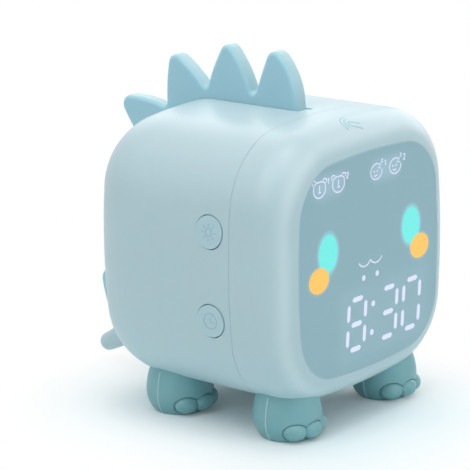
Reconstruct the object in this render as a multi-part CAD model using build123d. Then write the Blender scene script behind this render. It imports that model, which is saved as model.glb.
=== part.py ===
from build123d import *
import os
from math import acos, cos, degrees, pi, radians, sin

# A small alarm clock shaped like a baby dinosaur: a rounded cube body with a lit face, a translucent
# night-light crest of spikes that runs from the top down to a stubby tail, and four soft toed feet.
#
# Millimetres. +Z is up and the face looks along -Y. The origin is on the table, under the middle of
# the whole object's box, and X = 0 is the plane of the crest.

# ---- Body ------------------------------------------------------------------------------------------
BODY_W = 96.0  # across the two side walls
BODY_D = 87.2  # from the face to the back wall
BODY_H = 92.0
SIDE_BOW = 4.1  # how far each side of the outline swells beyond its corners
CORNER_R = 26.0  # outline corners, seen from the front
FRONT_ROUND = 12.5  # edge between the face and the sides
BACK_ROUND = 24.0  # edge between the back and the sides
WALL = 2.2
FRONT_WALL = 4.0  # face wall, thick enough for the lens pocket and its ledge
FRONT_SHELL_D = 20.6  # from the face to the parting line
PARTING_GAP = 0.1  # shadow line between the two shells
LIP_L = 2.5  # tongue of the front shell inside the rear shell
LIP_GAP = 0.1
GROUND = 10.0  # height of the body above the table
FIT = 0.1  # general clearance of a piece in its pocket

# ---- Tail ------------------------------------------------------------------------------------------
TAIL_REACH = 33.2  # how far the tail stands out behind the back wall
TAIL_TOP_DROP = 38.0  # from the top of the body to where the tail leaves the back wall
TAIL_SWEEP_R = 63.3  # radius of the tail's hollow upper side
TAIL_TIP_R = 3.3
# Cross-sections down the tail: degrees round the sweep, height, width.
TAIL_SECTIONS = ((12, 17.0, 20.0), (26, 14.5, 17.0), (40, 10.6, 13.0), (51, 8.2, 9.6))

# ---- Crest -----------------------------------------------------------------------------------------
CREST_T = 6.0
CREST_SETBACK = 27.8  # from the face to the front of the first spike
CREST_END_GAP = 8.0  # from the end of the crest to the middle of the tail's tip
CREST_ROOT = 4.5  # depth of the root below the skin
CREST_EDGE_R = 1.5
SLOT_GAP = 0.15
SLOT_LEAD = 2.4  # the slot starts this far in front of the crest
# Peaks: share of the way along the crest, height of the sharp peak above the skin, radius of its round tip,
# swell of its front and of its rear as shares of their lengths.
SPIKE_PEAKS = (
    (0.074, 20.8, 3.6, 0.130, 0.015),
    (0.207, 20.6, 2.9, 0.070, 0.045),
    (0.319, 19.5, 3.3, 0.055, 0.040),
    (0.431, 24.3, 3.5, 0.055, 0.050),
    (0.571, 24.0, 3.6, 0.055, 0.045),
    (0.752, 21.9, 3.6, 0.055, 0.045),
    (0.924, 19.5, 4.2, 0.055, 0.045),
)
# Valleys: share of the way along the crest, height above the skin.
SPIKE_VALLEYS = ((0.128, 1.2), (0.264, 2.8), (0.384, 4.4), (0.506, 4.0), (0.650, 4.6), (0.833, 2.4))
VALLEY_R = 1.2

# ---- Crest light -----------------------------------------------------------------------------------
STRIP_W = 5.0
STRIP_T = 0.4
CHIP_L = 3.5
CHIP_W = 2.8
CHIP_H = 0.8
CHIP_PITCH = 7.5
CHIP_GAP = 0.3  # from the chips to the crest's root
CHANNEL_GAP = 0.5  # each side of the root
CHANNEL_WALL = 1.2
CHANNEL_FLOOR = 1.4
EAR_W = 4.6
EAR_L = 6.0
EAR_OUT = 9.2  # screw centre from the middle plane
EAR_SETBACK = 24.0  # from the front of the crest to the top ears
EAR_RISE = 7.0  # from the lower end of the channel to the back ears

# ---- Face ------------------------------------------------------------------------------------------
LENS_MARGIN_X = 10.25  # from the side of the body to the lens
LENS_MARGIN_Z = 9.8  # from the top and the bottom of the body to the lens
LENS_DROP = 0.4
LENS_BOW = 2.6
LENS_CORNER_R = 18.0
LENS_T = 2.0
LENS_SET = 0.2  # the lens lies this far below the face
LEDGE = 2.5  # width of the ledge that carries the lens
EYE_INSET = 25.4  # from the side of the body to the middle of an eye
EYE_RISE = 6.3  # above the middle of the body
EYE_W = 9.7
EYE_H = 12.3
CHEEK_INSET = 20.5
CHEEK_RISE = -1.7
CHEEK_W = 10.4
CHEEK_H = 8.4
MOUTH_W = 12.6
MOUTH_DIP = 1.7
MOUTH_STROKE = 0.5
MOUTH_RISE = -0.5
NOSTRIL_X = 3.7
NOSTRIL_RISE = -6.0
NOSTRIL_D = 1.9
DIGIT_W = 9.1  # between the middles of the upright segments
DIGIT_H = 16.6  # between the middles of the level segments
DIGIT_PITCH = 13.0
TIME_GAP = 17.4  # between the middles of the hour and minute digits beside the colon
TIME_RISE = -20.6
TIME_SHIFT = 1.0  # the time sits a touch to the right of the middle
SEGMENT_L = 5.9
SEGMENT_T = 1.7
DIGIT_SLANT = 5.0
COLON_D = 2.0
COLON_SPACING = 9.6
SEGMENTS_OF = {"8": "abcdefg", "3": "abcdg", "0": "abcdef", " ": ""}
SHOWN_TIME = " 830"

# ---- Electronics -----------------------------------------------------------------------------------
BLOCK_T = 6.0  # light block, from the lens to the main board
BOARD_T = 1.6
BOARD_MARGIN_X = 6.5  # from the side of the body to the main board
BOARD_MARGIN_Z = 13.0
BOARD_CORNER_R = 14.0
BOARD_SCREW_INSET = 9.0  # from the side of the body
BOARD_SCREW_Z = 18.0
BOSS_R = 2.4
LED_L = 1.6
LED_W = 0.8
LED_H = 0.6
KEY_BOARD_W = 12.0
KEY_BOARD_H = 56.0
KEY_SCREW_Z = 24.6
SWITCH_W = 6.2
SWITCH_H = 3.5
PLUNGER_R = 1.75
PLUNGER_PROUD = 1.5
PLUNGER_DEEP = 1.0
RUN_GAP = 0.15  # clearance of a plunger in its housing
BATTERY_W = 34.0
BATTERY_H = 50.0
BATTERY_T = 8.0
BATTERY_EDGE_R = 2.5
PAD_EDGE = 4.0  # the foam pad stops this far inside the battery's edges
BATTERY_FRONT = 38.8  # from the face to the near edge of the battery
BATTERY_INSET = 6.0  # from the side of the body to the battery
SPEAKER_R = 14.5
SPEAKER_H = 8.0
SPEAKER_RIM = 2.5  # flat ring that lies on the seat
SPEAKER_RIM_T = 1.2
BASKET_H = 4.6
BASKET_T = 0.8
BASKET_NECK_R = 9.0
MAGNET_R = 8.0
CONE_R = 11.6
CONE_THROAT_R = 4.2
CONE_DEPTH = 1.3
CONE_T = 0.4
SPEAKER_SETBACK = 37.6  # from the face to the middle of the speaker
SPEAKER_SEAT = 1.0
GRILLE_HOLE_R = 1.0
GRILLE_PITCH = 3.7
USB_X = 22.0
USB_RISE = 28.0  # above the bottom of the body
USB_W = 8.94
USB_H = 3.26
USB_L = 7.35
USB_SKIN = 0.25
USB_CORNER_R = 1.5
USB_TONGUE_W = 6.7
USB_TONGUE_T = 0.7
USB_CLEAR = 0.35
USB_RECESS = 0.6  # from the back wall's outer face to the socket's mouth
CHARGE_BOARD_W = 24.0
CHARGE_BOARD_H = 14.0
CHARGE_BOARD_T = 1.2
CHARGE_SCREW_X = 9.2
# Parts on the back of the main board: x, height above its middle, width, height, thickness.
CHIPS = ((-14, 8, 12, 12, 1.6), (6, 12, 8, 10, 1.5), (20, -10, 9, 5, 1.5), (-18, -14, 8, 4, 2.2))
CAPACITOR_X = 4.0
CAPACITOR_DROP = 14.0
CAPACITOR_R = 3.2
CAPACITOR_L = 7.0
SOCKET_INSET = 18.0  # from the side of the body to the middle of the plug sockets beside it
SOCKET_W = 7.5
SOCKET_H = 5.5
SOCKET_T = 4.5
LEAD_R = 0.6
SHORT_BEND = 3.0  # a lead runs nearly straight for about this far at each end
BEND = 6.0
LONG_BEND = 18.0
TOUCH_PAD_R = 8.0
TOUCH_PAD_T = 0.3
TOUCH_SETBACK = 12.0  # from the face to the middle of the touch pad

# ---- Buttons ---------------------------------------------------------------------------------------
BUTTON_R = 5.4
BUTTON_GAP = 0.3
BUTTON_PROUD = 0.35
BUTTON_SETBACK = 28.6  # from the face
BUTTON_SPACING = 29.4
BUTTON_DROP = 0.3  # middle of the pair below the middle of the body
BUTTON_TRAVEL = 0.5
FLANGE_R = 6.7
FLANGE_T = 1.2
FLANGE_BACK = 1.1  # flange behind the side wall's highest point

# ---- Feet and screws -------------------------------------------------------------------------------
FOOT_INSET = 21.5  # from the side of the body to the middle of a foot
FOOT_FRONT = 14.5  # from the face to the middle of a front foot
FOOT_WHEELBASE = 46.2  # from a front foot to the one behind it
FOOT_R = 11.4
SOLE_R = 8.7
FOOT_BELLY = 6.8  # height of the widest ring
FOOT_RIM_R = 8.9  # at FOOT_TOP, hidden inside the body's outline
FOOT_TOP = 17.0
TOE_W = 8.0
TOE_H = 6.2
TOE_RISE = 3.9
TOE_PROUD = 1.4
TOE_STEP = 38.0  # degrees between the toes
TOE_CREASE = 0.35  # width of the crease round a toe
TOE_CREASE_D = 0.6
SPIGOT_R = 3.0
FOOT_BOSS_R = 4.4
FOOT_BOSS_H = 3.4  # above the inner floor
FOOT_SCREW_HEAD_R = 3.8
SCREW_R = 1.2
PILOT_R = 1.0
SCREW_HEAD_R = 2.3
SCREW_HEAD_H = 1.5
SCREW_END_GAP = 0.5  # from a screw's point to the bottom of its hole
RECESS_L = 2.6  # cross recess in a screw's head
RECESS_W = 0.6
RECESS_D = 0.8
CASE_SCREW_INSET = 8.0  # from the top and the bottom of the body
POST_R = 4.0
WELL_R = 2.8
POST_FLOOR = 4.0
CASE_SCREW_BITE = 8.0
BOARD_SCREW_L = 4.0
FOOT_SCREW_L = 7.0

# ---- Places worked out from the sizes --------------------------------------------------------------
FRONT_Y = -(BODY_D + TAIL_REACH) / 2
BACK_Y = FRONT_Y + BODY_D
MID_Z = GROUND + BODY_H / 2
TOP_Z = GROUND + BODY_H
PARTING_Y = FRONT_Y + FRONT_SHELL_D
SIDE_IN = BODY_W / 2 - WALL
FLOOR_Z = GROUND + WALL
FOOT_SEAT_Z = FLOOR_Z + FOOT_BOSS_H
CORNER_Y = BACK_Y - BACK_ROUND  # where the top starts to curve down to the back
CORNER_Z = TOP_Z - BACK_ROUND
TAIL_TOP_Z = TOP_Z - TAIL_TOP_DROP
SWEEP_Y = BACK_Y + TAIL_SWEEP_R  # centre of the tail's upper curve, level with TAIL_TOP_Z
TIP_Y = BACK_Y + TAIL_REACH - TAIL_TIP_R
TIP_ANGLE = degrees(acos((SWEEP_Y - TIP_Y) / (TAIL_SWEEP_R + TAIL_TIP_R)))
CREST_FRONT_Y = FRONT_Y + CREST_SETBACK
CREST_END_ANGLE = TIP_ANGLE - degrees(CREST_END_GAP / TAIL_SWEEP_R)
CHIP_OUT = CREST_ROOT + CHIP_GAP  # depths below the skin, from the crest's root inwards
STRIP_OUT = CHIP_OUT + CHIP_H
CHANNEL_OUT = STRIP_OUT + STRIP_T
CHANNEL_HALF = CREST_T / 2 + CHANNEL_GAP + CHANNEL_WALL
LENS_W = BODY_W - 2 * LENS_MARGIN_X
LENS_H = BODY_H - 2 * LENS_MARGIN_Z
EYE_X = BODY_W / 2 - EYE_INSET
CHEEK_X = BODY_W / 2 - CHEEK_INSET
BOARD_W = BODY_W - 2 * BOARD_MARGIN_X
BOARD_H = BODY_H - 2 * BOARD_MARGIN_Z
BOARD_SCREW_X = BODY_W / 2 - BOARD_SCREW_INSET
BATTERY_SIDE = BODY_W / 2 - BATTERY_INSET
FOOT_X = BODY_W / 2 - FOOT_INSET
CASE_SCREW_X = SPEAKER_R + POST_R  # the lower posts stand right beside the speaker
CASE_SCREW_Z = BODY_H / 2 - CASE_SCREW_INSET
SOCKET_X = BODY_W / 2 - SOCKET_INSET
# Plug sockets on the back of the main board: x, height above its middle.
SOCKETS = {
    "left keys": (-SOCKET_X, 20),
    "battery": (-SOCKET_X, 4),
    "right keys": (SOCKET_X, 20),
    "speaker": (SOCKET_X, 4),
    "charge board": (SOCKET_X, -12),
    "crest": (0, 27),
    "touch pad": (-12, 27),
}
LENS_FRONT_Y = FRONT_Y + LENS_SET
LENS_BACK_Y = LENS_FRONT_Y + LENS_T
LENS_Z = MID_Z - LENS_DROP
BOARD_Y = LENS_BACK_Y + BLOCK_T
BUTTON_Y = FRONT_Y + BUTTON_SETBACK
BUTTON_Z = (MID_Z - BUTTON_DROP - BUTTON_SPACING / 2, MID_Z - BUTTON_DROP + BUTTON_SPACING / 2)
FLANGE_X = SIDE_IN - FLANGE_BACK
SWITCH_X = FLANGE_X - FLANGE_T - PLUNGER_PROUD
KEY_BOARD_X = SWITCH_X - SWITCH_H
SPEAKER_Y = FRONT_Y + SPEAKER_SETBACK
SPEAKER_Z = FLOOR_Z + SPEAKER_SEAT
USB_Z = GROUND + USB_RISE
USB_MOUTH_Y = BACK_Y - USB_RECESS
CHARGE_BOARD_Y = USB_MOUTH_Y - USB_L
SIDES = {"left": -1, "right": 1}  # left and right as seen from in front of the face
LEVELS = {"lower": BUTTON_Z[0], "upper": BUTTON_Z[1]}
ENDS = {"front": FRONT_Y + FOOT_FRONT, "rear": FRONT_Y + FOOT_FRONT + FOOT_WHEELBASE}


# ---- Shared forms ----------------------------------------------------------------------------------
def facing(y, z=0.0, x=0.0):
    """A plane that looks forward, with X to the right and Z up."""
    return Plane(origin=(x, y, z), x_dir=(1, 0, 0), z_dir=(0, -1, 0))


def slab(outline, front_y, back_y, z=0.0):
    """The outline, seen from the front, made solid from front_y back to back_y."""
    return extrude(facing(back_y, z) * outline, amount=back_y - front_y)


def rod(radius, start, end):
    """A round bar between two points."""
    start, end = Vector(*start), Vector(*end)
    along = end - start
    return extrude(Plane(origin=start, z_dir=along.normalized()) * Circle(radius), amount=along.length)


def across_rod(radius, side, start_x, end_x, y, z):
    """A round bar that points sideways, between two distances from the middle plane."""
    return rod(radius, (side * start_x, y, z), (side * end_x, y, z))


def across(face, half_width):
    """A face drawn in the YZ plane, made solid to both sides of the middle plane."""
    return extrude(Plane.YZ * face, amount=half_width, both=True)


def bowed_rectangle(width, height, bow, corner_r, inset=0.0):
    """A rectangle with gently swelling sides and round corners: what four large discs share."""
    x, y = width / 2, height / 2
    side_r = ((y - bow) ** 2 + bow**2) / (2 * bow)
    end_r = ((x - bow) ** 2 + bow**2) / (2 * bow)
    side_disc, end_disc = Circle(side_r - inset), Circle(end_r - inset)
    face = Pos(x - side_r, 0) * Rot(0, 0, 180) * side_disc & Pos(side_r - x, 0) * side_disc
    face = face & Pos(0, y - end_r) * end_disc & Pos(0, end_r - y) * end_disc
    return fillet(face.vertices(), corner_r - inset)


def body_form(inset, front_inset):
    """The body's rounded block, with its faces moved in by inset."""
    outline = bowed_rectangle(BODY_W, BODY_H, SIDE_BOW, CORNER_R, inset)
    block = slab(outline, FRONT_Y + front_inset, BACK_Y - inset, MID_Z)
    block = fillet(block.faces().sort_by(Axis.Y)[0].edges(), FRONT_ROUND - inset)
    return fillet(block.faces().sort_by(Axis.Y)[-1].edges(), BACK_ROUND - inset)


def half_space(front_y, back_y):
    """A box that holds everything between two planes across the body."""
    middle = (0, (front_y + back_y) / 2, MID_Z)
    return Pos(middle) * Box(3 * BODY_W, back_y - front_y, 3 * BODY_H)


# ---- The crest's path ------------------------------------------------------------------------------
def path_point(share, out):
    """A point (y, z) at a share of the crest's path, standing out from the skin by out."""
    runs = (
        CORNER_Y - CREST_FRONT_Y,
        BACK_ROUND * pi / 2,
        CORNER_Z - TAIL_TOP_Z,
        TAIL_SWEEP_R * radians(CREST_END_ANGLE),
    )
    along = share * sum(runs)
    if along <= runs[0]:
        return Vector(CREST_FRONT_Y + along, TOP_Z + out)
    along -= runs[0]
    if along <= runs[1]:
        turn = along / BACK_ROUND
        return Vector(CORNER_Y + (BACK_ROUND + out) * sin(turn), CORNER_Z + (BACK_ROUND + out) * cos(turn))
    along -= runs[1]
    if along <= runs[2]:
        return Vector(BACK_Y + out, CORNER_Z - along)
    turn = (along - runs[2]) / TAIL_SWEEP_R
    return Vector(SWEEP_Y - (TAIL_SWEEP_R - out) * cos(turn), TAIL_TOP_Z - (TAIL_SWEEP_R - out) * sin(turn))


def path_edges(out, front_y, tail_angle):
    """The crest's path as edges, moved out from the skin by out and ended at tail_angle of the tail."""
    edges = [
        Line((front_y, TOP_Z + out), (CORNER_Y, TOP_Z + out)),
        CenterArc((CORNER_Y, CORNER_Z), BACK_ROUND + out, 0, 90),
        Line((BACK_Y + out, CORNER_Z), (BACK_Y + out, TAIL_TOP_Z)),
    ]
    if tail_angle:
        edges.append(CenterArc((SWEEP_Y, TAIL_TOP_Z), TAIL_SWEEP_R - out, 180, tail_angle))
    return edges


def tail_point(angle, out):
    """A point (y, z) at an angle round the tail's sweep, out from its upper side."""
    reach = TAIL_SWEEP_R - out
    return (SWEEP_Y - reach * cos(radians(angle)), TAIL_TOP_Z - reach * sin(radians(angle)))


def path_band(outer, inner, front_y, tail_angle):
    """The strip of the middle plane between two depths along the crest's path."""
    if tail_angle:
        ends = (tail_point(tail_angle, outer), tail_point(tail_angle, inner))
    else:
        ends = ((BACK_Y + outer, TAIL_TOP_Z), (BACK_Y + inner, TAIL_TOP_Z))
    edges = path_edges(outer, front_y, tail_angle) + path_edges(inner, front_y, tail_angle)
    edges.append(Line((front_y, TOP_Z + outer), (front_y, TOP_Z + inner)))
    edges.append(Line(*ends))
    return make_face(edges)


def bowed_side(start, end, bulge):
    """One side of a spike: an arc that swells outwards by a share of its length."""
    run = end - start
    middle = (start + end) / 2 + Vector(-run.Y, run.X) * bulge
    return ThreePointArc(start, middle, end)


def night_light_crest():
    """A flat translucent blade with seven leaf-shaped spikes and a root that sits in the slot."""
    peaks = [path_point(*spike[:2]) for spike in SPIKE_PEAKS]
    valleys = [path_point(*valley) for valley in SPIKE_VALLEYS]
    feet = [path_point(0, 0), *valleys, path_point(1, 0)]
    edges = []
    for number, peak in enumerate(peaks):
        front_bulge, rear_bulge = SPIKE_PEAKS[number][3:]
        edges.append(bowed_side(feet[number], peak, front_bulge))
        edges.append(bowed_side(peak, feet[number + 1], rear_bulge))
    edges += path_edges(-CREST_ROOT, CREST_FRONT_Y, CREST_END_ANGLE)
    edges.append(Line(feet[0], (CREST_FRONT_Y, TOP_Z - CREST_ROOT)))
    edges.append(Line(feet[-1], tail_point(CREST_END_ANGLE, -CREST_ROOT)))
    blade = make_face(edges)
    rounds = [(peak, spike[2]) for peak, spike in zip(peaks, SPIKE_PEAKS)]
    rounds += [(valley, VALLEY_R) for valley in valleys]
    for corner, radius in rounds:
        nearest = blade.vertices().sort_by_distance(corner)[0]
        blade = fillet(nearest, radius)
    blade = across(blade, CREST_T / 2)
    return fillet(blade.faces().filter_by(Axis.X).edges(), CREST_EDGE_R)


def crest_slot():
    """The space that the crest's root takes out of the rear shell and the tail."""
    end = CREST_END_ANGLE + degrees(SLOT_GAP / TAIL_SWEEP_R)
    band = path_band(WALL, -CREST_ROOT - SLOT_GAP, CREST_FRONT_Y - SLOT_LEAD, end)
    return across(band, CREST_T / 2 + SLOT_GAP)


def tail():
    """A horn that grows out of the back wall and sweeps down and back to a round tip."""
    rings = []
    tip_ring = (TIP_ANGLE, 2 * TAIL_TIP_R, 2 * TAIL_TIP_R)
    for angle, height, width in (*TAIL_SECTIONS, tip_ring):
        y, z = tail_point(angle, -height / 2)
        along = (0, sin(radians(angle)), -cos(radians(angle)))
        ring = Plane(origin=(0, y, z), x_dir=(1, 0, 0), z_dir=along)
        rings.append(ring * Ellipse(width / 2, height / 2))
    tip_y, tip_z = tail_point(TIP_ANGLE, -TAIL_TIP_R)
    return loft(rings) + Pos(0, tip_y, tip_z) * Sphere(TAIL_TIP_R)


# ---- Crest light -----------------------------------------------------------------------------------
def ear_places():
    """Screw places of the light channel: (x, y, z, direction towards the skin)."""
    places = []
    for side in (-1, 1):
        places.append((side * EAR_OUT, CREST_FRONT_Y + EAR_SETBACK, TOP_Z - CHANNEL_OUT, (0, 0, 1)))
        places.append((side * EAR_OUT, BACK_Y - CHANNEL_OUT, TAIL_TOP_Z + EAR_RISE, (0, 1, 0)))
    return places


def crest_light_channel():
    """A U-shaped carrier that hugs the crest's root and holds the light strip behind it."""
    floor = across(path_band(-CHANNEL_OUT, -CHANNEL_OUT - CHANNEL_FLOOR, CREST_FRONT_Y, 0), CHANNEL_HALF)
    walls = across(path_band(-WALL - CHANNEL_GAP, -CHANNEL_OUT, CREST_FRONT_Y, 0), CHANNEL_HALF)
    trough = across(path_band(-WALL, -CHANNEL_OUT, CREST_FRONT_Y - WALL, 0), CHANNEL_HALF - CHANNEL_WALL)
    channel = floor + (walls - trough)
    ear_reach = EAR_OUT + EAR_W / 2
    for side, y, z, outward in ear_places()[:2]:
        up = Vector(*outward)
        centre = Vector(0, y, z) - up * (CHANNEL_FLOOR / 2)
        depth, height = (EAR_L, CHANNEL_FLOOR) if outward[2] else (CHANNEL_FLOOR, EAR_L)
        channel += Pos(*centre) * Box(2 * ear_reach, depth, height)
    for x, y, z, outward in ear_places():
        up = Vector(*outward)
        place = Vector(x, y, z)
        channel -= rod(SCREW_R + FIT, place - up * (CHANNEL_FLOOR + 1), place + up)
    return channel


def crest_light_strip():
    """The flexible board stuck in the bottom of the channel."""
    return across(path_band(-STRIP_OUT, -CHANNEL_OUT, CREST_FRONT_Y, 0), STRIP_W / 2)


def even_steps(length):
    """Middles of as many equal steps as the chips' pitch allows in a length."""
    count = int(length // CHIP_PITCH)
    return [(number + 0.5) * length / count for number in range(count)]


def crest_leds():
    """Light chips in a row along the strip, each facing the crest's root."""
    chips = []
    depth = STRIP_OUT - CHIP_H / 2
    for step in even_steps(CORNER_Y - CREST_FRONT_Y):
        chips.append(Pos(0, CREST_FRONT_Y + step, TOP_Z - depth) * Box(CHIP_W, CHIP_L, CHIP_H))
    for step in even_steps(CORNER_Z - TAIL_TOP_Z):
        chips.append(Pos(0, BACK_Y - depth, CORNER_Z - step) * Box(CHIP_W, CHIP_H, CHIP_L))
    return chips


# ---- Face ------------------------------------------------------------------------------------------
def lens_outline(inset):
    return bowed_rectangle(LENS_W, LENS_H, LENS_BOW, LENS_CORNER_R, inset)


def eye_shapes():
    return [Pos(side * EYE_X, MID_Z + EYE_RISE) * Ellipse(EYE_W / 2, EYE_H / 2) for side in (-1, 1)]


def cheek_shapes():
    return [Pos(side * CHEEK_X, MID_Z + CHEEK_RISE) * Ellipse(CHEEK_W / 2, CHEEK_H / 2) for side in (-1, 1)]


def mouth_shape():
    """Two shallow hanging arcs side by side."""
    half, z = MOUTH_W / 2, MID_Z + MOUTH_RISE
    shapes = []
    for side in (-1, 1):
        low = (side * half / 2, z - MOUTH_DIP)
        curve = ThreePointArc((side * half, z), low, (0, z))
        shapes.append(trace(curve, line_width=MOUTH_STROKE))
    return shapes[0] + shapes[1]


def nostril_shapes():
    return [Pos(side * NOSTRIL_X, MID_Z + NOSTRIL_RISE) * Circle(NOSTRIL_D / 2) for side in (-1, 1)]


def segment_places():
    """Centre and tilt of each segment of one upright digit, by its usual letter."""
    w, h = DIGIT_W / 2, DIGIT_H / 2
    return {
        "a": (0, h, 0),
        "b": (w, h / 2, 90),
        "c": (w, -h / 2, 90),
        "d": (0, -h, 0),
        "e": (-w, -h / 2, 90),
        "f": (-w, h / 2, 90),
        "g": (0, 0, 0),
    }


def segment_shape():
    """One bar with pointed ends."""
    tip, body, half = SEGMENT_L / 2, (SEGMENT_L - SEGMENT_T) / 2, SEGMENT_T / 2
    lower = ((-tip, 0), (-body, -half), (body, -half), (tip, 0))
    return Polygon(*lower, (body, half), (-body, half), align=None)


def digit_centres():
    inner, outer = TIME_GAP / 2, TIME_GAP / 2 + DIGIT_PITCH
    return [TIME_SHIFT + x for x in (-outer, -inner, inner, outer)]


def digit_shapes(lit):
    """Segments of the four digits: those that the shown time lights, or all the others."""
    shapes = []
    lean = sin(radians(DIGIT_SLANT))
    for x, character in zip(digit_centres(), SHOWN_TIME):
        for letter, (dx, dz, tilt) in segment_places().items():
            if (letter in SEGMENTS_OF[character]) == lit:
                place = Pos(x + dx + dz * lean, MID_Z + TIME_RISE + dz)
                shapes.append(place * Rot(0, 0, tilt - DIGIT_SLANT if tilt else 0) * segment_shape())
    return shapes


def colon_shapes():
    rise = COLON_SPACING / 2
    lean = sin(radians(DIGIT_SLANT)) * rise
    dot = Pos(TIME_SHIFT, MID_Z + TIME_RISE) * Circle(COLON_D / 2)
    return [Pos(side * lean, side * rise) * dot for side in (-1, 1)]


def windows(shapes):
    """Light windows moulded through the lens."""
    return [slab(shape, LENS_FRONT_Y, LENS_BACK_Y) for shape in shapes]


def face_windows():
    """Each set of light windows by its node name. The cheeks lie over the eyes' lower corners."""
    cheeks = windows(cheek_shapes())
    eyes = [eye - cheek for eye, cheek in zip(windows(eye_shapes()), cheeks)]
    return {
        "eye_windows": eyes,
        "cheek_windows": cheeks,
        "snout_windows": [*windows([mouth_shape()]), *windows(nostril_shapes())],
        "lit_segments": windows(digit_shapes(True) + colon_shapes()),
        "unlit_segments": windows(digit_shapes(False)),
    }


def display_lens(all_windows):
    lens = slab(lens_outline(0), LENS_FRONT_Y, LENS_BACK_Y, LENS_Z)
    rim = lens.faces().sort_by(Axis.Y)[0].edges()
    lens = fillet(rim, LENS_SET)
    for window in all_windows:
        lens -= window
    return lens


def light_block():
    """A white block behind the lens with one walled cell for each light window."""
    block = slab(lens_outline(LEDGE + FIT), LENS_BACK_Y, BOARD_Y, LENS_Z)
    shapes = [*eye_shapes(), *cheek_shapes(), mouth_shape(), *nostril_shapes()]
    shapes += digit_shapes(True) + digit_shapes(False) + colon_shapes()
    for shape in shapes:
        block -= slab(shape, LENS_BACK_Y, BOARD_Y)
    return block


# ---- Shells ----------------------------------------------------------------------------------------
def four_places(x, z):
    """Both sides of the middle plane, below and above the middle of the body."""
    return [(side * x, MID_Z + level * z) for side in (-1, 1) for level in (-1, 1)]


def case_screw_places():
    return four_places(CASE_SCREW_X, CASE_SCREW_Z)


def board_screw_places():
    return four_places(BOARD_SCREW_X, BOARD_SCREW_Z)


def lip(outer_inset, inner_inset):
    """A ring in the body's wall that runs back from the parting line."""
    ring = body_form(outer_inset, outer_inset) - body_form(inner_inset, FRONT_WALL)
    return ring & half_space(PARTING_Y - PARTING_GAP, PARTING_Y + LIP_L)


def front_shell(outer):
    """The face frame: lens pocket and ledge, bosses for the main board and the case screws."""
    inner = body_form(WALL, FRONT_WALL)
    shell = (outer - inner) & half_space(FRONT_Y - WALL, PARTING_Y - PARTING_GAP)
    root_y = FRONT_Y + FRONT_WALL / 2
    for x, z in board_screw_places():
        shell += rod(BOSS_R, (x, root_y, z), (x, BOARD_Y, z))
    for x, z in case_screw_places():
        shell += rod(POST_R, (x, root_y, z), (x, PARTING_Y, z)) & outer
    shell += lip(WALL / 2 + LIP_GAP, WALL)
    shell = with_foot_seats(shell, outer, ENDS["front"])
    shell -= slab(lens_outline(-FIT), FRONT_Y - WALL, LENS_BACK_Y, LENS_Z)
    shell -= slab(lens_outline(LEDGE), FRONT_Y - WALL, BOARD_Y, LENS_Z)
    for x, z in board_screw_places():
        shell -= rod(PILOT_R, (x, BOARD_Y - BOARD_SCREW_L, z), (x, BOARD_Y + 1, z))
    for x, z in case_screw_places():
        shell -= rod(PILOT_R, (x, PARTING_Y - CASE_SCREW_BITE - 1, z), (x, PARTING_Y + 1, z))
    return shell


def with_foot_seats(shell, outer, y):
    """A shell with the bosses and holes of its two feet."""
    for x in (-FOOT_X, FOOT_X):
        shell += rod(FOOT_BOSS_R, (x, y, GROUND), (x, y, FOOT_SEAT_Z)) & outer
        shell -= rod(SPIGOT_R + FIT, (x, y, 0), (x, y, FOOT_SEAT_Z + WALL))
    return shell


def key_screw_places():
    return [(BUTTON_Y, MID_Z - BUTTON_DROP + level * KEY_SCREW_Z) for level in (-1, 1)]


def rear_bosses():
    """What grows inwards from the rear shell's walls."""
    outer_x = BODY_W / 2 - WALL / 2
    bosses = []
    for x, z in case_screw_places():
        bosses.append(rod(POST_R, (x, PARTING_Y, z), (x, BACK_Y, z)))
    for side in (-1, 1):
        for y, z in key_screw_places():
            bosses.append(across_rod(BOSS_R, side, KEY_BOARD_X, outer_x, y, z))
    for x, y, z, outward in ear_places():
        place = Vector(x, y, z)
        bosses.append(rod(BOSS_R, place, place + Vector(*outward) * (CHANNEL_OUT - WALL / 2)))
    for side in (-1, 1):
        x = USB_X + side * CHARGE_SCREW_X
        bosses.append(rod(BOSS_R, (x, CHARGE_BOARD_Y, USB_Z), (x, BACK_Y - WALL / 2, USB_Z)))
    seat = Pos(0, SPEAKER_Y, FLOOR_Z - WALL / 2)
    ring_h = SPEAKER_SEAT + WALL / 2
    guide = Circle(SPEAKER_R + FIT + WALL / 2) - Circle(SPEAKER_R + FIT)
    bosses.append(seat * extrude(guide, amount=3 * ring_h))
    bosses.append(seat * extrude(Circle(SPEAKER_R + WALL / 2) - Circle(SPEAKER_R - WALL), amount=ring_h))
    return bosses


def grille_places():
    """Sound holes in a hexagonal pattern under the speaker."""
    places = [(0.0, 0.0)]
    for ring in (1, 2):
        for step in range(6 * ring):
            turn = 2 * pi * step / (6 * ring)
            places.append((ring * GRILLE_PITCH * cos(turn), ring * GRILLE_PITCH * sin(turn)))
    return places


def usb_outline(margin):
    """The charging inlet's rounded outline, made larger all round by margin."""
    return RectangleRounded(USB_W + 2 * margin, USB_H + 2 * margin, USB_CORNER_R + margin)


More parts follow.
